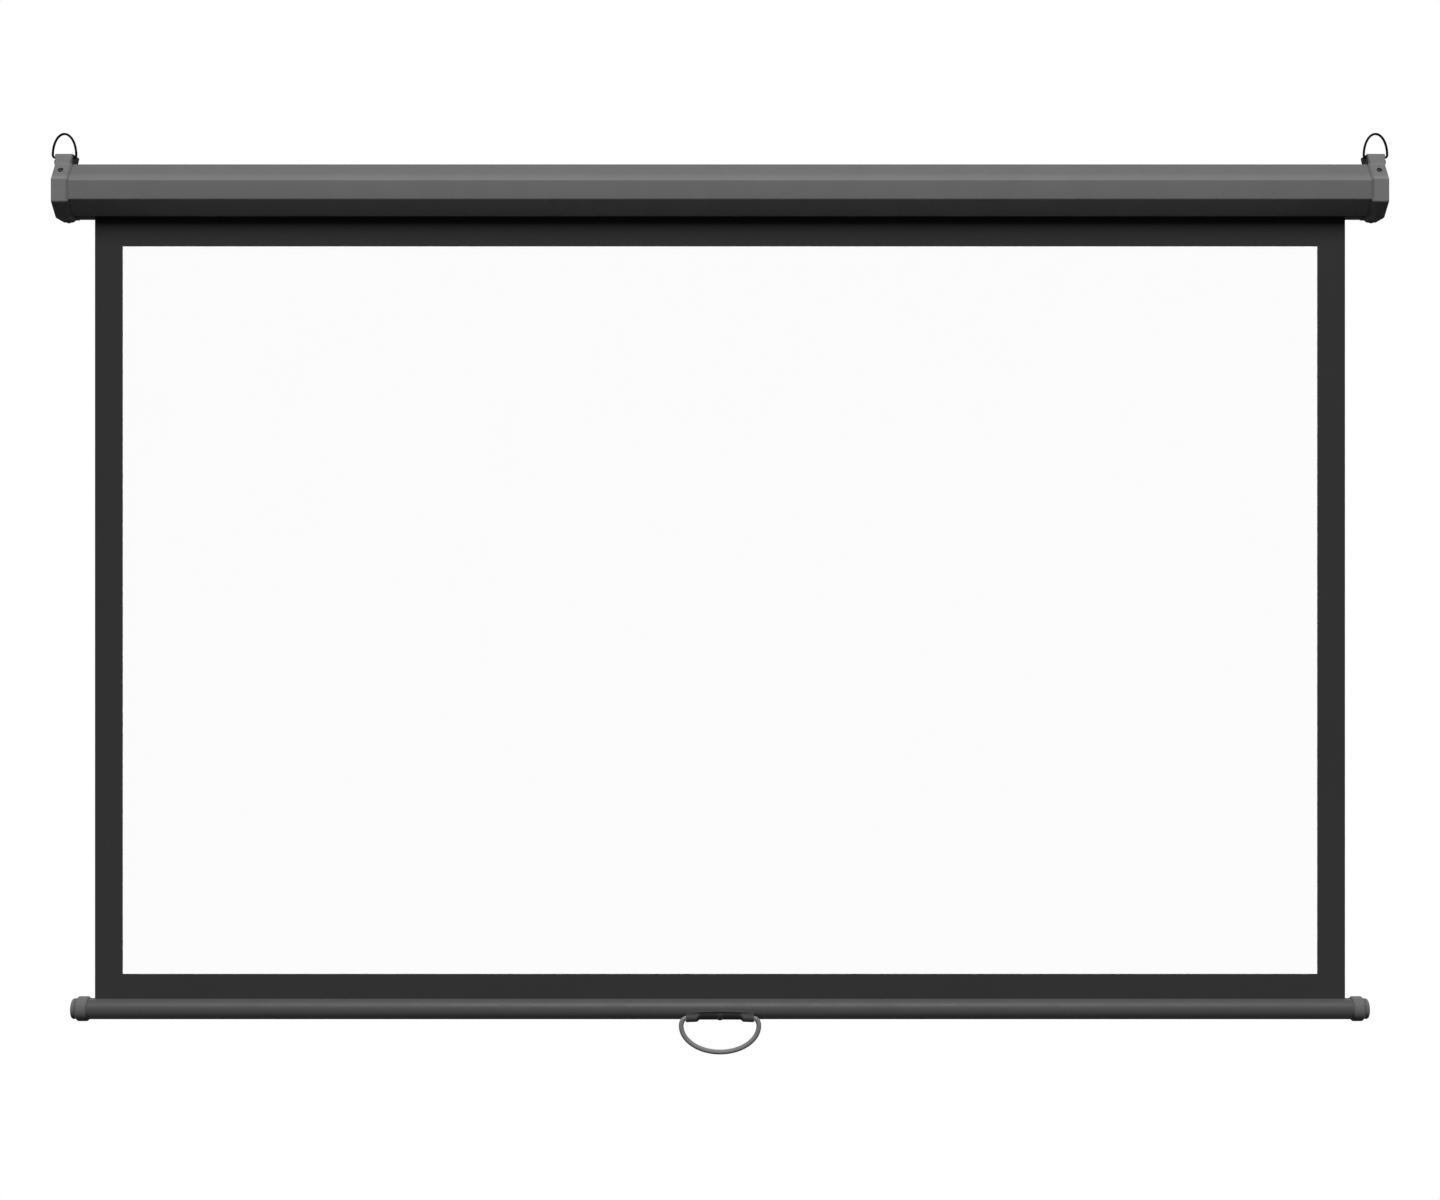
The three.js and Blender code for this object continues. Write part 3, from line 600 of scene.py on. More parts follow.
def paint(name, level, roughness, specular, painted_shade=no_painted_shade):
    """Satin paint: orange peel, faint mottling and specks, duller underneath and at the ends."""
    material, tree, shader = new_material(name, specular_ior_level=specular)
    where = coordinates(tree)
    mottle = spread(tree, noise(tree, where, scale=22, detail=3), 0.97, 1.03)
    specks = spread(tree, noise(tree, where, scale=2600, detail=1), 0.95, 1.05)
    peel = noise(tree, where, scale=900, detail=2, roughness=0.45)
    clouds = noise(tree, where, scale=60, detail=4)
    gloss = spread(tree, clouds, roughness - 0.04, roughness + 0.05)
    connect(
        tree,
        shader,
        # The base colour carries painted shade on upward faces above the fold, and a painted sheen
        # band below it.
        base_color=tinted(tree, grey(level), mottle, specks, painted_top_shade(tree, *painted_shade)),
        roughness=math_node(tree, "MAXIMUM", gloss, turned_aside(tree)),
        normal=bump(tree, peel, distance=0.00006, strength=0.35),
    )
    return material


def moulded(name, level, roughness, specular, painted_shade=no_painted_shade):
    """Moulded plastic: spark-eroded grain with faint flow marks."""
    material, tree, shader = new_material(name, specular_ior_level=specular)
    where = coordinates(tree)
    along = coordinates(tree, stretch=(0.4, 1, 1))
    streaks = noise(tree, along, scale=90, detail=3, roughness=0.5, distortion=0.6)
    flow = spread(tree, streaks, 0.97, 1.03)
    grain = noise(tree, where, scale=2400, detail=3, roughness=0.6)
    pits = spread(tree, grain, 0.95, 1.05)
    cells = add_node(tree, "TexVoronoi", {"Vector": where, "Scale": 1500.0}).outputs["Distance"]
    clouds = noise(tree, where, scale=180, detail=3)
    gloss = spread(tree, clouds, roughness - 0.05, roughness + 0.06)
    grain_bump = bump(tree, grain, distance=0.00003, strength=0.4)
    connect(
        tree,
        shader,
        # The base colour carries painted shade on upward faces above the fold, and a painted sheen
        # band below it.
        base_color=tinted(tree, grey(level), flow, pits, painted_top_shade(tree, *painted_shade)),
        roughness=math_node(tree, "MAXIMUM", gloss, turned_aside(tree)),
        normal=bump(tree, cells, distance=0.00004, strength=0.35, normal=grain_bump),
    )
    return material


def metal(name, color, roughness, stretch=(1, 1, 1), grain=700.0, relief=0.00003):
    """Bare or plated metal with drawn marks, blotches and a varied gloss."""
    material, tree, shader = new_material(name, metallic=1.0)
    drawn = noise(tree, coordinates(tree, stretch), scale=grain, detail=4, roughness=0.6)
    blotch = noise(tree, coordinates(tree), scale=140, detail=4, roughness=0.6)
    tarnish = spread(tree, blotch, 0.9, 1.08)
    lines = spread(tree, drawn, 0.95, 1.05)
    connect(
        tree,
        shader,
        base_color=tinted(tree, color, tarnish, lines),
        roughness=spread(tree, blotch, roughness - 0.08, roughness + 0.1),
        normal=bump(tree, drawn, distance=relief, strength=0.5),
    )
    return material


def cloth(name, level, roughness, specular, relief, mottling=0.02):
    """Coated woven fabric: crossed threads, slubs and faint mottling."""
    material, tree, shader = new_material(name, specular_ior_level=specular)
    where = coordinates(tree)
    threads = {
        "Vector": where,
        "Scale": 1 / thread_width / wave_rate * math.pi,
        "Distortion": 0.6,
        "Detail": 1.0,
        "Detail Scale": 3.0,
    }
    warp = add_node(tree, "TexWave", threads, bands_direction="X").outputs["Fac"]
    weft = add_node(tree, "TexWave", threads, bands_direction="Z").outputs["Fac"]
    weave = math_node(tree, "MULTIPLY", warp, weft)
    slubs = noise(tree, coordinates(tree, stretch=(1, 1, 0.25)), scale=500, detail=2)
    mottle = spread(tree, noise(tree, where, scale=9, detail=3), 1 - mottling, 1 + mottling)
    shading = spread(tree, weave, 0.985, 1.015, from_low=0.0, from_high=1.0)
    slub_bump = bump(tree, slubs, distance=relief / 2, strength=0.3)
    connect(
        tree,
        shader,
        base_color=tinted(tree, grey(level), mottle, shading),
        roughness=spread(tree, slubs, roughness - 0.05, roughness + 0.04),
        normal=bump(tree, weave, distance=relief, strength=0.5, normal=slub_bump),
    )
    return material


def tape_material():
    """Paper tape with crepe lines across it and a yellowed tone."""
    material, tree, shader = new_material("paper_tape", specular_ior_level=0.2)
    crepe = noise(tree, coordinates(tree, stretch=(1, 8, 8)), scale=260, detail=4, roughness=0.6)
    stain = spread(tree, noise(tree, coordinates(tree), scale=40, detail=3), 0.93, 1.04)
    connect(
        tree,
        shader,
        base_color=tinted(tree, (0.58, 0.55, 0.45, 1), stain),
        roughness=spread(tree, crepe, 0.7, 0.85),
        normal=bump(tree, crepe, distance=0.00005, strength=0.6),
    )
    return material


def top_shade_above(fold_height, sheen_band):
    """How strong the painted shade on upward faces is, and the two heights between which it starts.
    """
    return (top_shade_amount, fold_height + sheen_band[0], fold_height + sheen_band[1])


# Painted shade on the upward faces of the case and caps, above a painted sheen band along each
# upper fold.
case_top_shade = top_shade_above(case_high.z - case_upper_rise, case_sheen_band)
cap_top_shade = top_shade_above(case_high.z + cap_proud - cap_upper_rise, cap_sheen_band)
case_paint = paint("case_satin_paint", level=0.104, roughness=0.46, specular=0.08, painted_shade=case_top_shade)
bar_paint = paint("bar_satin_paint", level=0.047, roughness=0.44, specular=0.08)
cap_plastic = moulded(
    "grey_moulded_plastic", level=0.134, roughness=0.48, specular=0.03, painted_shade=cap_top_shade
)
bar_cap_plastic = moulded("bar_cap_moulded_plastic", level=0.088, roughness=0.47, specular=0.02)
dark_plastic = moulded("dark_moulded_plastic", level=0.036, roughness=0.48, specular=0.02)
hanger_enamel = paint("black_wire_enamel", level=0.004, roughness=0.4, specular=0.02)
loop_enamel = paint("grey_wire_enamel", level=0.14, roughness=0.45, specular=0.03)
screw_black = metal("black_oxide_steel", (0.02, 0.02, 0.021, 1), roughness=0.42)
plated_steel = metal(
    "zinc_plated_steel", (0.46, 0.47, 0.48, 1), roughness=0.32, stretch=(0.1, 1, 1)
)
cast_zinc = metal(
    "die_cast_zinc", (0.33, 0.34, 0.35, 1), roughness=0.5, grain=1400.0, relief=0.00008
)
oiled_spring = metal("oiled_spring_steel", (0.09, 0.1, 0.11, 1), roughness=0.3, grain=900.0)
bronze = metal(
    "sintered_bronze", (0.4, 0.22, 0.08, 1), roughness=0.45, grain=2600.0, relief=0.00008
)
black_cloth = cloth(
    "black_coated_fabric", level=0.026, roughness=0.9, specular=0.05, relief=0.00006
)
white_cloth = cloth(
    "matte_white_surface",
    level=0.9,
    roughness=0.95,
    specular=0.05,
    relief=0.00003,
    mottling=0.001,
)
paper_tape = tape_material()


def finish_piece(obj, material, body, node):
    """Gives a piece its finish, its body and the node that it stands for."""
    obj.data.materials.clear()
    obj.data.materials.append(material)
    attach(obj, body)
    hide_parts(node)


# Case

def octagon(proud, bevel_run, upper_rise, lower_rise):
    """Corners in Y and Z, from the lower front one round by the bottom, back and top."""
    front, back = case_low.y - proud, case_high.y + proud
    bottom, top = case_low.z - proud, case_high.z + proud
    return [
        Vector((front, bottom + lower_rise)),
        Vector((front + bevel_run, bottom)),
        Vector((back - bevel_run, bottom)),
        Vector((back, bottom + lower_rise)),
        Vector((back, top - upper_rise)),
        Vector((back - bevel_run, top)),
        Vector((front + bevel_run, top)),
        Vector((front, top - upper_rise)),
    ]


case_corners = octagon(0, case_bevel_run, case_upper_rise, case_lower_rise)


def case_shell():
    """Folded sheet metal, open along a slot whose edges are turned up."""
    half = case_wall / 2
    floor, lip_top = case_low.z + half, case_low.z + lip_height
    slot_front, slot_back = fabric_y - slot_width / 2 - half, fabric_y + slot_width / 2 + half
    middle = offset(case_corners, -half)
    fold = case_fold - half
    corners = [Vector((slot_back, lip_top)), Vector((slot_back, floor)), *middle[2:], *middle[:2]]
    corners += [Vector((slot_front, floor)), Vector((slot_front, lip_top))]
    radii = [0, case_wall, *[fold] * 8, case_wall, 0]
    path = rounded_path(corners, radii, closed=False)
    return extrude_x("case_cover", thicken(path, case_wall), -case_high.x, case_high.x)


case_cover = case_shell()
finish_piece(case_cover, case_paint, "case", "case_shell")


# End caps

cap_corners = octagon(cap_proud, cap_bevel_run, cap_upper_rise, cap_lower_rise)
cap_inner = cap_low.x
cap_end = cap_inner + cap_width
lug_front = case_low.y - cap_proud + lug_front_inset
lug_back = lug_front + lug_depth
lug_top = cap_high.z
screw_x = cap_end - screw_inset


def cap_outline():
    """The cap's outline with its lug, in Y and Z."""
    bevel_foot, bevel_top = cap_corners[7], cap_corners[6]
    share = (lug_front - bevel_foot.x) / (bevel_top.x - bevel_foot.x)
    root = bevel_foot.lerp(bevel_top, share)
    lug = [
        Vector((lug_back, bevel_top.y)),
        Vector((lug_back, lug_top)),
        Vector((lug_front + lug_lean, lug_top)),
        root,
    ]
    corners = cap_corners[:6] + lug + [bevel_foot]
    radii = [cap_fold] * 6 + [lug_rounding, lug_rounding, lug_rounding, lug_fillet, cap_fold]
    return rounded_path(corners, radii)


def flared(loop, sign):
    """Moves the upper part of the lug's side out a little."""
    for point in loop:
        point.x += sign * lug_flare * soft_step(point.z, lug_top - lug_flare_height, lug_top)
    return loop


def bevel_seat(low, high):
    """The middle of a bevel, sunk by the depth of a counterbore, and its outward direction."""
    along = (high - low).normalized()
    out = Vector((along.y, -along.x))
    seat = (low + high) / 2 - out * counterbore_depth
    return Vector((0, seat.x, seat.y)), Vector((0, out.x, out.y))


screw_seats = {
    "front": bevel_seat(cap_corners[6], cap_corners[7]),
    "rear": bevel_seat(cap_corners[4], cap_corners[5]),
    "bottom": (Vector((0, -bottom_screw_setback, case_low.z - cap_proud)), Vector((0, 0, -1))),
}


def screw_place(side, name):
    seat, out = screw_seats[name]
    return along_direction(seat + Vector((side * screw_x, 0, 0)), out)


def mouth_loops(outline):
    """The cap's rounded mouth. It runs out flush before its rim on its underside, and keeps most of
    its height on its lug."""
    rim = []
    rounds = [[] for k in range(mouth_steps + 1)]
    for point, side in zip(outline, sides_of(outline, True)):
        low = soft_step(-point.y, -cap_corners[0].y, -cap_corners[1].y)
        lug = soft_step(point.y, cap_corners[6].y, cap_corners[6].y + lug_flare_height)
        depth = mouth_depth + (lug_mouth_depth - mouth_depth) * lug
        flush = mouth_flush + (mouth_low_flush - mouth_flush) * low
        full = mouth_end + (mouth_low_end - mouth_end) * low + (lug_mouth_depth - mouth_end) * lug
        place = point - side * depth
        rim.append(Vector((cap_inner, place.x, place.y)))
        for k, loop in enumerate(rounds):
            share = k / mouth_steps
            place = point - side * depth * (1 - share) ** 2
            loop.append(Vector((cap_inner + flush + (full - flush) * share, place.x, place.y)))
    return [rim] + rounds


def screw_bore(name):
    """The hole of a cap screw. In a bevel it has a counterbore with a broken edge."""
    bore = shank_radius + hole_gap
    foot = -shank_length * hole_depth_share
    if name == "bottom":
        return [(foot, 0), (foot, bore), (cut_overrun, bore), (cut_overrun, 0)]
    broken = counterbore_radius + 2 * counterbore_rim
    return [
        (foot, 0),
        (foot, bore),
        (0, bore),
        (0, counterbore_radius),
        (counterbore_depth - counterbore_rim, counterbore_radius),
        (counterbore_depth + counterbore_rim, broken),
        (2 * cut_overrun, broken),
        (2 * cut_overrun, 0),
    ]


def end_cap():
    """The right cap: a sleeve over the case with a lug, a rib, a wire eye and screw holes."""
    outline = cap_outline()
    loops = [flared(loop, -1) for loop in mouth_loops(outline)]
    for inset, shrink in edge_steps(cap_rounding, cap_edge_steps)[::-1]:
        loops.append(flared(at_x(offset(outline, -shrink), cap_end - inset), 1))
    cap = loft("right_cap_cover", loops)
    rib_top = case_high.z + cap_proud + rib_proud
    rib_outline = rounded_path(
        [
            (lug_front + lug_lean, rib_top - rib_height),
            (lug_back - lug_rounding, rib_top - rib_height),
            (lug_back - lug_rounding, rib_top),
            (lug_front + lug_lean, rib_top),
        ],
        [rib_proud / 2] * 4,
    )
    rib = extrude_x("rib", rib_outline, cap_end - cap_wall, cap_end + rib_proud, rib_proud / 3)
    boolean(cap, "UNION", rib)
    cavity_outline = offset(rounded_path(case_corners, [case_fold] * 8), cavity_gap)
    cavity = extrude_x("cavity", cavity_outline, cap_inner - cut_overrun, cap_end - cap_wall)
    eye = turned(
        "eye",
        [(-cap_width, 0), (-cap_width, eye_radius), (cap_width, eye_radius), (cap_width, 0)],
        Matrix.Translation((cap_inner + cap_width / 2, hanger_axis.y, hanger_axis.z)),
        small_sides,
    )
    tools = [cavity, eye]
    for name in screw_seats:
        tools.append(turned("bore", screw_bore(name), screw_place(1, name), small_sides))
    boolean(cap, "DIFFERENCE", *tools)
    even_normals(cap)
    return cap


right_cap = end_cap()
left_cap = mirror_x(right_cap, "left_cap_cover")
finish_piece(right_cap, cap_plastic, "case", "right_end_cap")
finish_piece(left_cap, cap_plastic, "case", "left_end_cap")


# Screws

def pan_screw(name, place, radius, height, shank, length):
    """A pan-head screw with a domed head and a cross recess; its X axis points out of the head."""
    profile = [
        (-length, 0),
        (-length, shank * shank_tip_share),
        (-length + shank, shank),
        (0, shank),
        (0, radius * head_foot_share),
        (height * head_edge_share, radius),
    ]
    for angle in quarter_angles(crown_steps):
        x = height * (1 - crown_share) + height * crown_share * math.sin(angle)
        profile.append((x, radius * (1 - crown_inset_share * (1 - math.cos(angle)))))
    top_radius = profile[-1][1]
    profile.append((height * crown_top_share, top_radius * crown_flat_share))
    profile.append((height * crown_top_share, 0))
    screw = turned(name, profile, place, small_sides)
    arms = [recess_arm(place, spin, radius, height) for spin in (0, math.pi / 2)]
    boolean(screw, "DIFFERENCE", *arms)
    return screw


def recess_arm(place, spin, radius, height):
    """One arm of the cross recess, which narrows towards its foot."""
    length, width = radius * recess_length_share, radius * recess_width_share
    foot, top = height * recess_foot_share, height * recess_top_share
    loops = []
    for x, half_length, half_width in ((foot, length / 5, width / 3), (top, length / 2, width / 2)):
        loop = []
        for y, z in ((-1, -1), (1, -1), (1, 1), (-1, 1)):
            local = Vector((x, y * half_length, z * half_width))
            loop.append(place @ Matrix.Rotation(spin, 4, "X") @ local)
        loops.append(loop)
    return loft("arm", loops)


for side, end in ends:
    for name in screw_seats:
        screw = pan_screw(
            f"{end}_{name}_cap_screw",
            screw_place(side, name),
            head_radius,
            head_height,
            shank_radius,
            shank_length,
        )
        finish_piece(screw, screw_black, "case", f"{end}_{name}_screw")


# Hangers and pull loop

def wire_path(centre, wire, width, rise, corner_run, corner_rise, end_at, up):
    """A loop in X and Z whose ends lie along X through its centre, with a half-elliptical arch."""
    half = (width - wire) / 2
    arch_rise = rise - wire / 2 - corner_rise
    side = []
    for k in range(straight_steps):
        side.append((end_at + (half - corner_run - end_at) * k / straight_steps, 0))
    for angle in quarter_angles(quarter_steps)[:-1]:
        run = corner_run * (1 - math.sin(angle))
        side.append((half - run, corner_rise * (1 - math.cos(angle))))
    arch = []
    for k in range(arch_steps + 1):
        angle = math.pi * k / arch_steps
        arch.append((half * math.cos(angle), corner_rise + arch_rise * math.sin(angle)))
    points = side + arch + [(-x, z) for x, z in reversed(side)]
    return [centre + Vector((x, 0, up * z)) for x, z in points]


for side, end in ends:
    centre = Vector((side * abs(hanger_axis.x), hanger_axis.y, hanger_axis.z))
    end_at = (cap_width + rib_proud) / 2 - hanger_reach
    path = wire_path(
        centre, hanger_wire, hanger_width, hanger_rise, hanger_bend, hanger_bend, end_at, 1
    )
    wire = tube(f"{end}_hanger_wire", path, hanger_wire / 2)
    finish_piece(wire, hanger_enamel, f"{end}_hanger_loop", f"{end}_hanger")

loop_path = wire_path(
    loop_axis,
    loop_wire,
    loop_width,
    loop_drop,
    loop_corner_run,
    loop_corner_drop,
    bracket_length / 2 - loop_reach,
    -1,
)
pull_wire = tube("pull_handle_wire", loop_path, loop_wire / 2, sides=loop_sides)
finish_piece(pull_wire, loop_enamel, "handle", "pull_loop")


# Screen fabric

def slab(name, low, high, columns, rows):
    """A thin sheet with a grid of points on its faces."""
    points, faces = [], []
    xs = np.linspace(low.x, high.x, columns + 1)
    zs = np.linspace(low.z, high.z, rows + 1)
    for y in (low.y, high.y):
        points += [(x, y, z) for z in zs for x in xs]
    width, layer = columns + 1, (columns + 1) * (rows + 1)
    for r in range(rows):
        for c in range(columns):
            a = r * width + c
            quad = (a, a + 1, a + 1 + width, a + width)
            faces.append(quad)
            faces.append(tuple(layer + i for i in reversed(quad)))
    rim = list(range(width)) + [r * width + columns for r in range(1, rows + 1)]
    rim += [rows * width + c for c in range(columns - 1, -1, -1)]
    rim += [r * width for r in range(rows - 1, 0, -1)]
    for i, a in enumerate(rim):
        b = rim[(i + 1) % len(rim)]
        faces.append((b, a, a + layer, b + layer))
    return add_mesh(name, points, faces)


screen_sheet = slab("screen_sheet", sheet_low, sheet_high, sheet_columns, sheet_rows)
finish_piece(screen_sheet, black_cloth, "case", "screen_fabric")
white_sheet = slab("white_surface", white_low, white_high, sheet_columns, white_rows)
finish_piece(white_sheet, white_cloth, "case", "projection_surface")
for piece in (screen_sheet, white_sheet):
    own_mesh(piece)


def hem():
    """The lowest band of the sheet, turned round the hem rod and sewn behind itself."""
    centre = Vector((fabric_y, bar_axis.z + hem_lift))
    seam_height = centre.y + hem_radius * hem_seam_share
    path = [Vector((fabric_y, border_high.z)), Vector((fabric_y, seam_height))]
    start = math.pi / 2 + hem_opening
    for k in range(hem_steps + 1):
        angle = start + (2 * math.pi - 2 * hem_opening) * k / hem_steps
        path.append(centre + Vector((math.cos(angle), math.sin(angle))) * hem_radius)
    tail_y = fabric_y + fabric_thickness * hem_tail_share
    path.append(Vector((tail_y, seam_height)))
    path.append(Vector((tail_y, bar_axis.z + bar_radius * hem_tail_top_share)))
    return path


def full_width_sheet(name, path):
    """A sheet as wide as the fabric, along a path in Y and Z."""
    return extrude_x(name, thicken(path, fabric_thickness), -half_fabric, half_fabric)


hem_path = hem()
hem_piece = full_width_sheet("hem_and_lower_border", hem_path)
finish_piece(hem_piece, black_cloth, "bar", "bottom_border")


def wraps():
    """The turns left on the roller, from its front over the top. They drop onto the tube where the
    layer below ends, and that inner end lies on the tape."""
    outer = roller_axis.y - fabric_y
    tube_low, tube_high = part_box("roller_tube")
    tape_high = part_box("fabric_tape")[1]
    above = fabric_thickness / 2 + layer_gap
    on_tube = (tube_high.z - tube_low.z) / 2 + above
    on_tape = tape_high.y - roller_axis.y + above
    path = []
    for k in range(round(wrap_turns * wrap_steps) + 1):
        turns = k / wrap_steps
        radius = outer + (on_tube - outer) * soft_step(turns, *wrap_drop)
        radius += (on_tape - on_tube) * soft_step(turns, *wrap_rise)
        path.append(polar(radius, math.pi - 2 * math.pi * turns, roller_axis))
    return path


wrap_path = wraps()
wrap_piece = full_width_sheet("roller_wraps", wrap_path)
finish_piece(wrap_piece, black_cloth, "roller", "fabric_wraps")


# Weight bar

def weight_bar():
    """A round tube with a slot along its top whose edges are rounded."""
    middle = bar_radius - bar_wall / 2
    half_slot = math.asin((bar_slot_width + bar_wall) / 2 / middle)
    start = math.pi / 2 + half_slot
    path = []
    for k in range(bar_steps + 1):
        angle = start + (2 * math.pi - 2 * half_slot) * k / bar_steps
        path.append(polar(middle, angle, bar_axis))
    outer = offset(path, bar_wall / 2, closed=False)
    inner = offset(path, -bar_wall / 2, closed=False)
    return outer + slot_edge(path[-1], outer[-1]) + inner[::-1] + slot_edge(path[0], inner[0])


def slot_edge(middle, first):
    """Points of a half-round edge between the two faces of a wall."""
    arm = first - middle
    return [middle + turn(arm, math.pi * k / corner_steps) for k in range(1, corner_steps)]


bar_tube = extrude_x("weight_bar_tube", weight_bar(), bar_low.x, bar_high.x, sharp=soft_crease)
finish_piece(bar_tube, bar_paint, "bar", "weight_bar")


def bar_cap():
    """The right cap: a sleeve on the bar, a ring, a cone and a tip, with a plug inside."""
    end = bar_high.x
    sleeve = bar_radius + fit_gap
    start, ring_end = end - bar_cap_sleeve, end + bar_cap_ring
    cone_end = ring_end + bar_cap_cone
    tip_end = cone_end + bar_cap_tip
    inside = bar_radius - bar_wall - fit_gap
    pairs = [
        (end - bar_cap_plug, 0),
        (end - bar_cap_plug, inside),
        (end + fit_gap, inside),
        (end + fit_gap, sleeve),
        (start, sleeve),
        (start, sleeve + bar_cap_lip),
        (start + bar_cap_chamfer, bar_cap_radius),
        (ring_end, bar_cap_radius),
        (cone_end, bar_cap_cone_radius - bar_cap_groove),
        (cone_end, bar_cap_tip_radius),
        (tip_end, bar_cap_tip_radius),
        (tip_end, 0),
    ]
    edge, soft = bar_cap_edge, bar_cap_soft_edge
    radii = [0, edge, 0, 0, 0, edge / 2, soft, soft, 0, edge, bar_cap_rounding, 0]
    place = Matrix.Translation((0, bar_axis.y, bar_axis.z))
    return turned("right_bar_cap_cover", rounded_pairs(pairs, radii), place)


right_bar_cap = bar_cap()
left_bar_cap = mirror_x(right_bar_cap, "left_bar_cap_cover")
finish_piece(right_bar_cap, bar_cap_plastic, "bar", "right_bar_cap")
finish_piece(left_bar_cap, bar_cap_plastic, "bar", "left_bar_cap")


# Handle bracket

bracket_inner = bar_radius + fit_gap
bracket_outer = bracket_inner + bracket_wall
half_bracket = bracket_length / 2


def bracket_radius(x, angle, top):
    """How far the bracket's outer face stands from the bar's axis."""
    bead = bead_height * math.exp(-(((angle - top - bead_spread) / bead_spread) ** 2))
    boss_start = half_bracket - boss_length
    share = soft_step(abs(x), boss_start - boss_slope / 2, boss_start + boss_slope / 2)
    share *= 1 - boss_taper_share * (half_bracket - abs(x)) / boss_length
    swing = angle - bracket_angle
    skirt = skirt_height * max(1 - (swing / skirt_spread) ** 2, 0) ** 2
    root = boss_radius**2 - (boss_orbit * math.sin(swing)) ** 2
    boss = boss_orbit * math.cos(swing) + math.sqrt(root) - bracket_outer if root > 0 else 0
    return bracket_outer + bead * (1 - share / 2) + share * max(boss, skirt)


def rounded_dip(run, rounding):
    """How far a rounded edge lies under its face, at a run in from the end of the face."""
    return rounding - math.sqrt(max(rounding**2 - max(rounding - run, 0) ** 2, 0))


def handle_bracket():
    """A curved saddle with a raised bead along its top and a boss at each end."""
    loops = []
    for i in range(bracket_stations + 1):
        x = bracket_length * (i / bracket_stations - 0.5)
        bow = (x / half_bracket) ** 2
        top = bracket_top_angle + bracket_end_drop * bow
        span = bracket_low_angle - top
        outer, inner = [], []
        for k in range(bracket_steps + 1):
            share = k / bracket_steps
            angle = top + span * share
            edge = min(share, 1 - share) * span * bracket_outer
            radius = bracket_radius(x, angle, top) - rounded_dip(edge, bracket_rounding)
            outer.append(polar(radius, angle, bar_axis))
        for k in range(bracket_steps + 1):
            angle = bracket_low_angle - span * k / bracket_steps
            inner.append(polar(bracket_inner, angle, bar_axis))
        loops.append(at_x(outer + inner, x))
    bracket = loft("handle_bracket_cover", loops, sharp=soft_crease)
    reach = half_bracket + cut_overrun
    hole = loop_wire / 2 + hole_gap
    middle = half_bracket - boss_length
    lathe = [(middle, 0), (middle, hole), (reach, hole), (reach, 0)]
    axis_place = Matrix.Translation((0, loop_axis.y, loop_axis.z))
    tools = []
    for side in (-1, 1):
        place = axis_place @ Matrix.Scale(side, 4, Vector((1, 0, 0)))
        tools.append(turned("loop_bore", lathe, place, small_sides))
    boolean(bracket, "DIFFERENCE", *tools, sharp=soft_crease)
    pad_pairs = [
        (-bracket_wall, 0),
        (-bracket_wall, pad_radius),
        (pad_rise, pad_radius),
        (pad_rise, 0),
    ]
    pad_pairs = rounded_pairs(pad_pairs, [0, 0, pad_rise / 2, 0])
    pad = turned("pad", pad_pairs, bracket_place(bracket_outer), small_sides)
    boolean(bracket, "UNION", pad, sharp=soft_crease)
    bore = bracket_shank_radius + hole_gap
    bore_pairs = [
        (-bar_radius, 0),
        (-bar_radius, bore),
        (bracket_bore_reach, bore),
        (bracket_bore_reach, 0),
    ]
    screw_hole = turned("screw_bore", bore_pairs, bracket_place(bracket_outer), small_sides)
    boolean(bracket, "DIFFERENCE", screw_hole, sharp=soft_crease)
    return bracket


def bracket_place(radius):
    seat = polar(radius, bracket_angle, bar_axis)
    out = Vector((0, math.cos(bracket_angle), math.sin(bracket_angle)))
    return along_direction(Vector((0, seat.x, seat.y)), out)


bracket = handle_bracket()
finish_piece(bracket, dark_plastic, "bar", "handle_bracket")
bracket_screw = pan_screw(
    "handle_bracket_screw",
    bracket_place(bracket_outer + pad_rise),
    bracket_head_radius,
    bracket_head_height,
    bracket_shank_radius,
    bracket_shank_length,
)
finish_piece(bracket_screw, screw_black, "bar", "bracket_screw")


# Finishes of the pieces inside, which keep their own solids

inside_finishes = {
    "left_end_plate": cast_zinc,
    "right_end_plate": cast_zinc,
    "idler_bush": bronze,
    "spring_shaft": plated_steel,
    "ratchet_wheel": cast_zinc,
    "spring_anchor": dark_plastic,
    "anchor_pin": plated_steel,
    "torsion_spring": oiled_spring,
    "roller_tube": plated_steel,
    "spring_end_plug": cast_zinc,
    "shaft_steady": dark_plastic,
    "idler_plug": dark_plastic,
    "gudgeon_pin": plated_steel,
    "fabric_tape": paper_tape,
    "pawl_pin_1": plated_steel,
    "pawl_pin_2": plated_steel,
    "pawl_1": plated_steel,
    "pawl_2": plated_steel,
    "hem_rod": plated_steel,
}
for node, material in inside_finishes.items():
    piece = frame["nodes"][node]
    for material_slot in piece.material_slots:
        material_slot.material = material


# Stage

floor_height = -3.0
floor_half = 14.0
floor_glow = 0.6
floor_seen = 0.7
floor_bounce = 0.05
fade_start = 3.0
fade_end = 6.0
world_seen = 1.0
world_light = 0.02


def is_seen(tree):
    """1 for rays from the camera, a mirror or through glass, and 0 for others."""
    rays = add_node(tree, "LightPath").outputs
    seen = math_node(tree, "MAXIMUM", rays["Is Camera Ray"], rays["Is Glossy Ray"])
    return math_node(tree, "MAXIMUM", seen, rays["Is Transmission Ray"])


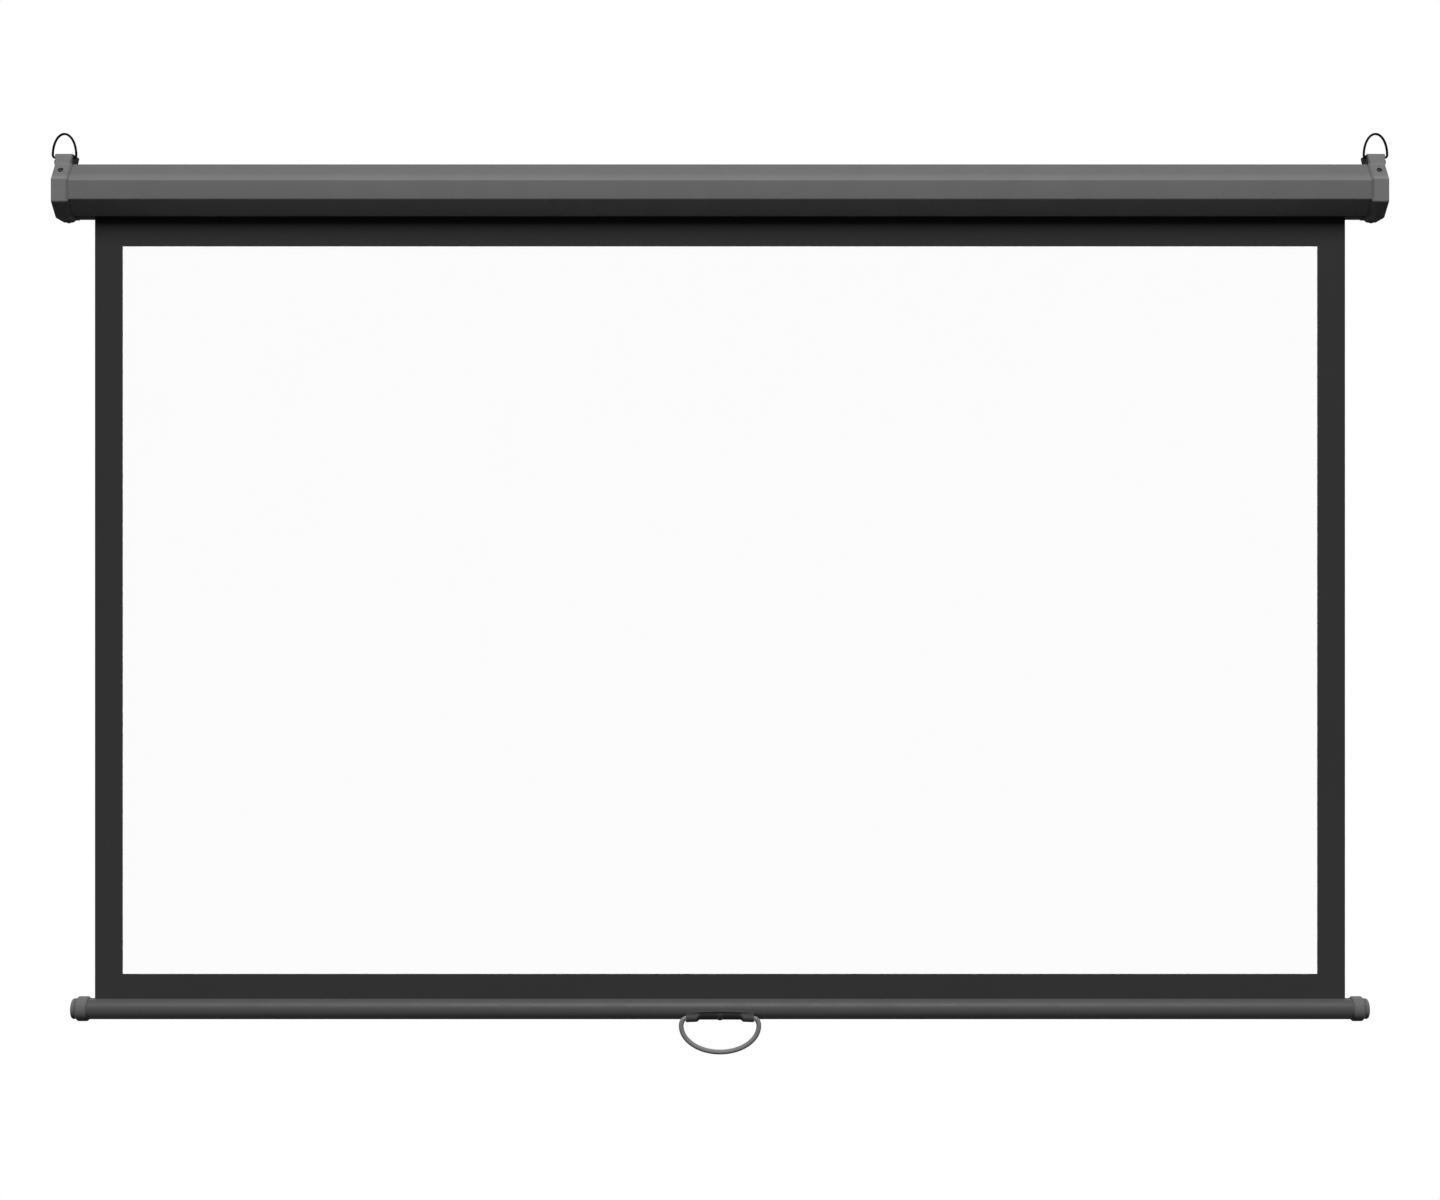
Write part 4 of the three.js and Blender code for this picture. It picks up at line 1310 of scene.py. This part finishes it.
def floor():
    """A plain pale floor that keeps the object's shadow and fades to white away from it."""
    corners = [(-1, -1), (1, -1), (1, 1), (-1, 1)]
    points = [(x * floor_half, y * floor_half, floor_height) for x, y in corners]
    plane = add_mesh("floor", points, [(0, 1, 2, 3)])
    material = bpy.data.materials.new("floor_paper")
    material.use_nodes = True
    tree = material.node_tree
    tree.nodes.clear()
    seen = is_seen(tree)
    where = add_node(tree, "TexCoord").outputs["Object"]
    distance = add_node(tree, "VectorMath", {0: where}, operation="LENGTH").outputs["Value"]
    fade = spread(tree, distance, floor_glow, 1.0, fade_start, fade_end)
    tones = {"Fac": seen, "Color1": grey(floor_bounce), "Color2": grey(floor_seen)}
    near = add_node(tree, "MixRGB", tones)
    matte = add_node(tree, "BsdfDiffuse", {"Color": near.outputs["Color"]}).outputs["BSDF"]
    white = add_node(tree, "Emission", {"Color": grey(1), "Strength": 1.0}).outputs["Emission"]
    mixed = add_node(tree, "MixShader", {"Fac": math_node(tree, "MULTIPLY", seen, fade)})
    tree.links.new(matte, mixed.inputs[1])
    tree.links.new(white, mixed.inputs[2])
    output = add_node(tree, "OutputMaterial")
    tree.links.new(mixed.outputs["Shader"], output.inputs["Surface"])
    plane.data.materials.append(material)


def world():
    """A white background that gives the object only a little of its light."""
    made = bpy.data.worlds.new("studio")
    bpy.context.scene.world = made
    made.use_nodes = True
    tree = made.node_tree
    background = tree.nodes["Background"]
    level = spread(tree, is_seen(tree), world_light, world_seen, from_low=0.0, from_high=1.0)
    background.inputs["Color"].default_value = grey(1)
    tree.links.new(level, background.inputs["Strength"])


def soft_sun(name, elevation, azimuth, spread_angle, strength):
    """A distant soft light. Azimuth 0 comes from the viewer's side, and grows to the right."""
    light = bpy.data.lights.new(name, "SUN")
    light.energy = strength
    light.angle = math.radians(spread_angle)
    obj = bpy.data.objects.new(name, light)
    bpy.context.scene.collection.objects.link(obj)
    up, side = math.radians(elevation), math.radians(azimuth)
    run = math.cos(up)
    towards = Vector((math.sin(side) * run, -math.cos(side) * run, math.sin(up)))
    obj.rotation_euler = towards.to_track_quat("Z", "Y").to_euler()


floor()
world()
soft_sun("key_light", elevation=53, azimuth=0, spread_angle=26, strength=5.45)
soft_sun("back_fill", elevation=40, azimuth=180, spread_angle=60, strength=1.3)

# Camera

camera_distance = 2.4
camera_height = -0.4902
camera_lens = 50
camera_sensor = 36
camera_data = bpy.data.cameras.new("camera")
camera_data.lens = camera_lens
camera_data.sensor_width = camera_sensor
camera_data.sensor_fit = "HORIZONTAL"
camera = bpy.data.objects.new("camera", camera_data)
bpy.context.scene.collection.objects.link(camera)
camera.location = (0, fabric_y - camera_distance, camera_height)
camera.rotation_euler = (math.pi / 2, 0, 0)
bpy.context.scene.camera = camera
bpy.context.scene.view_settings.view_transform = "Standard"
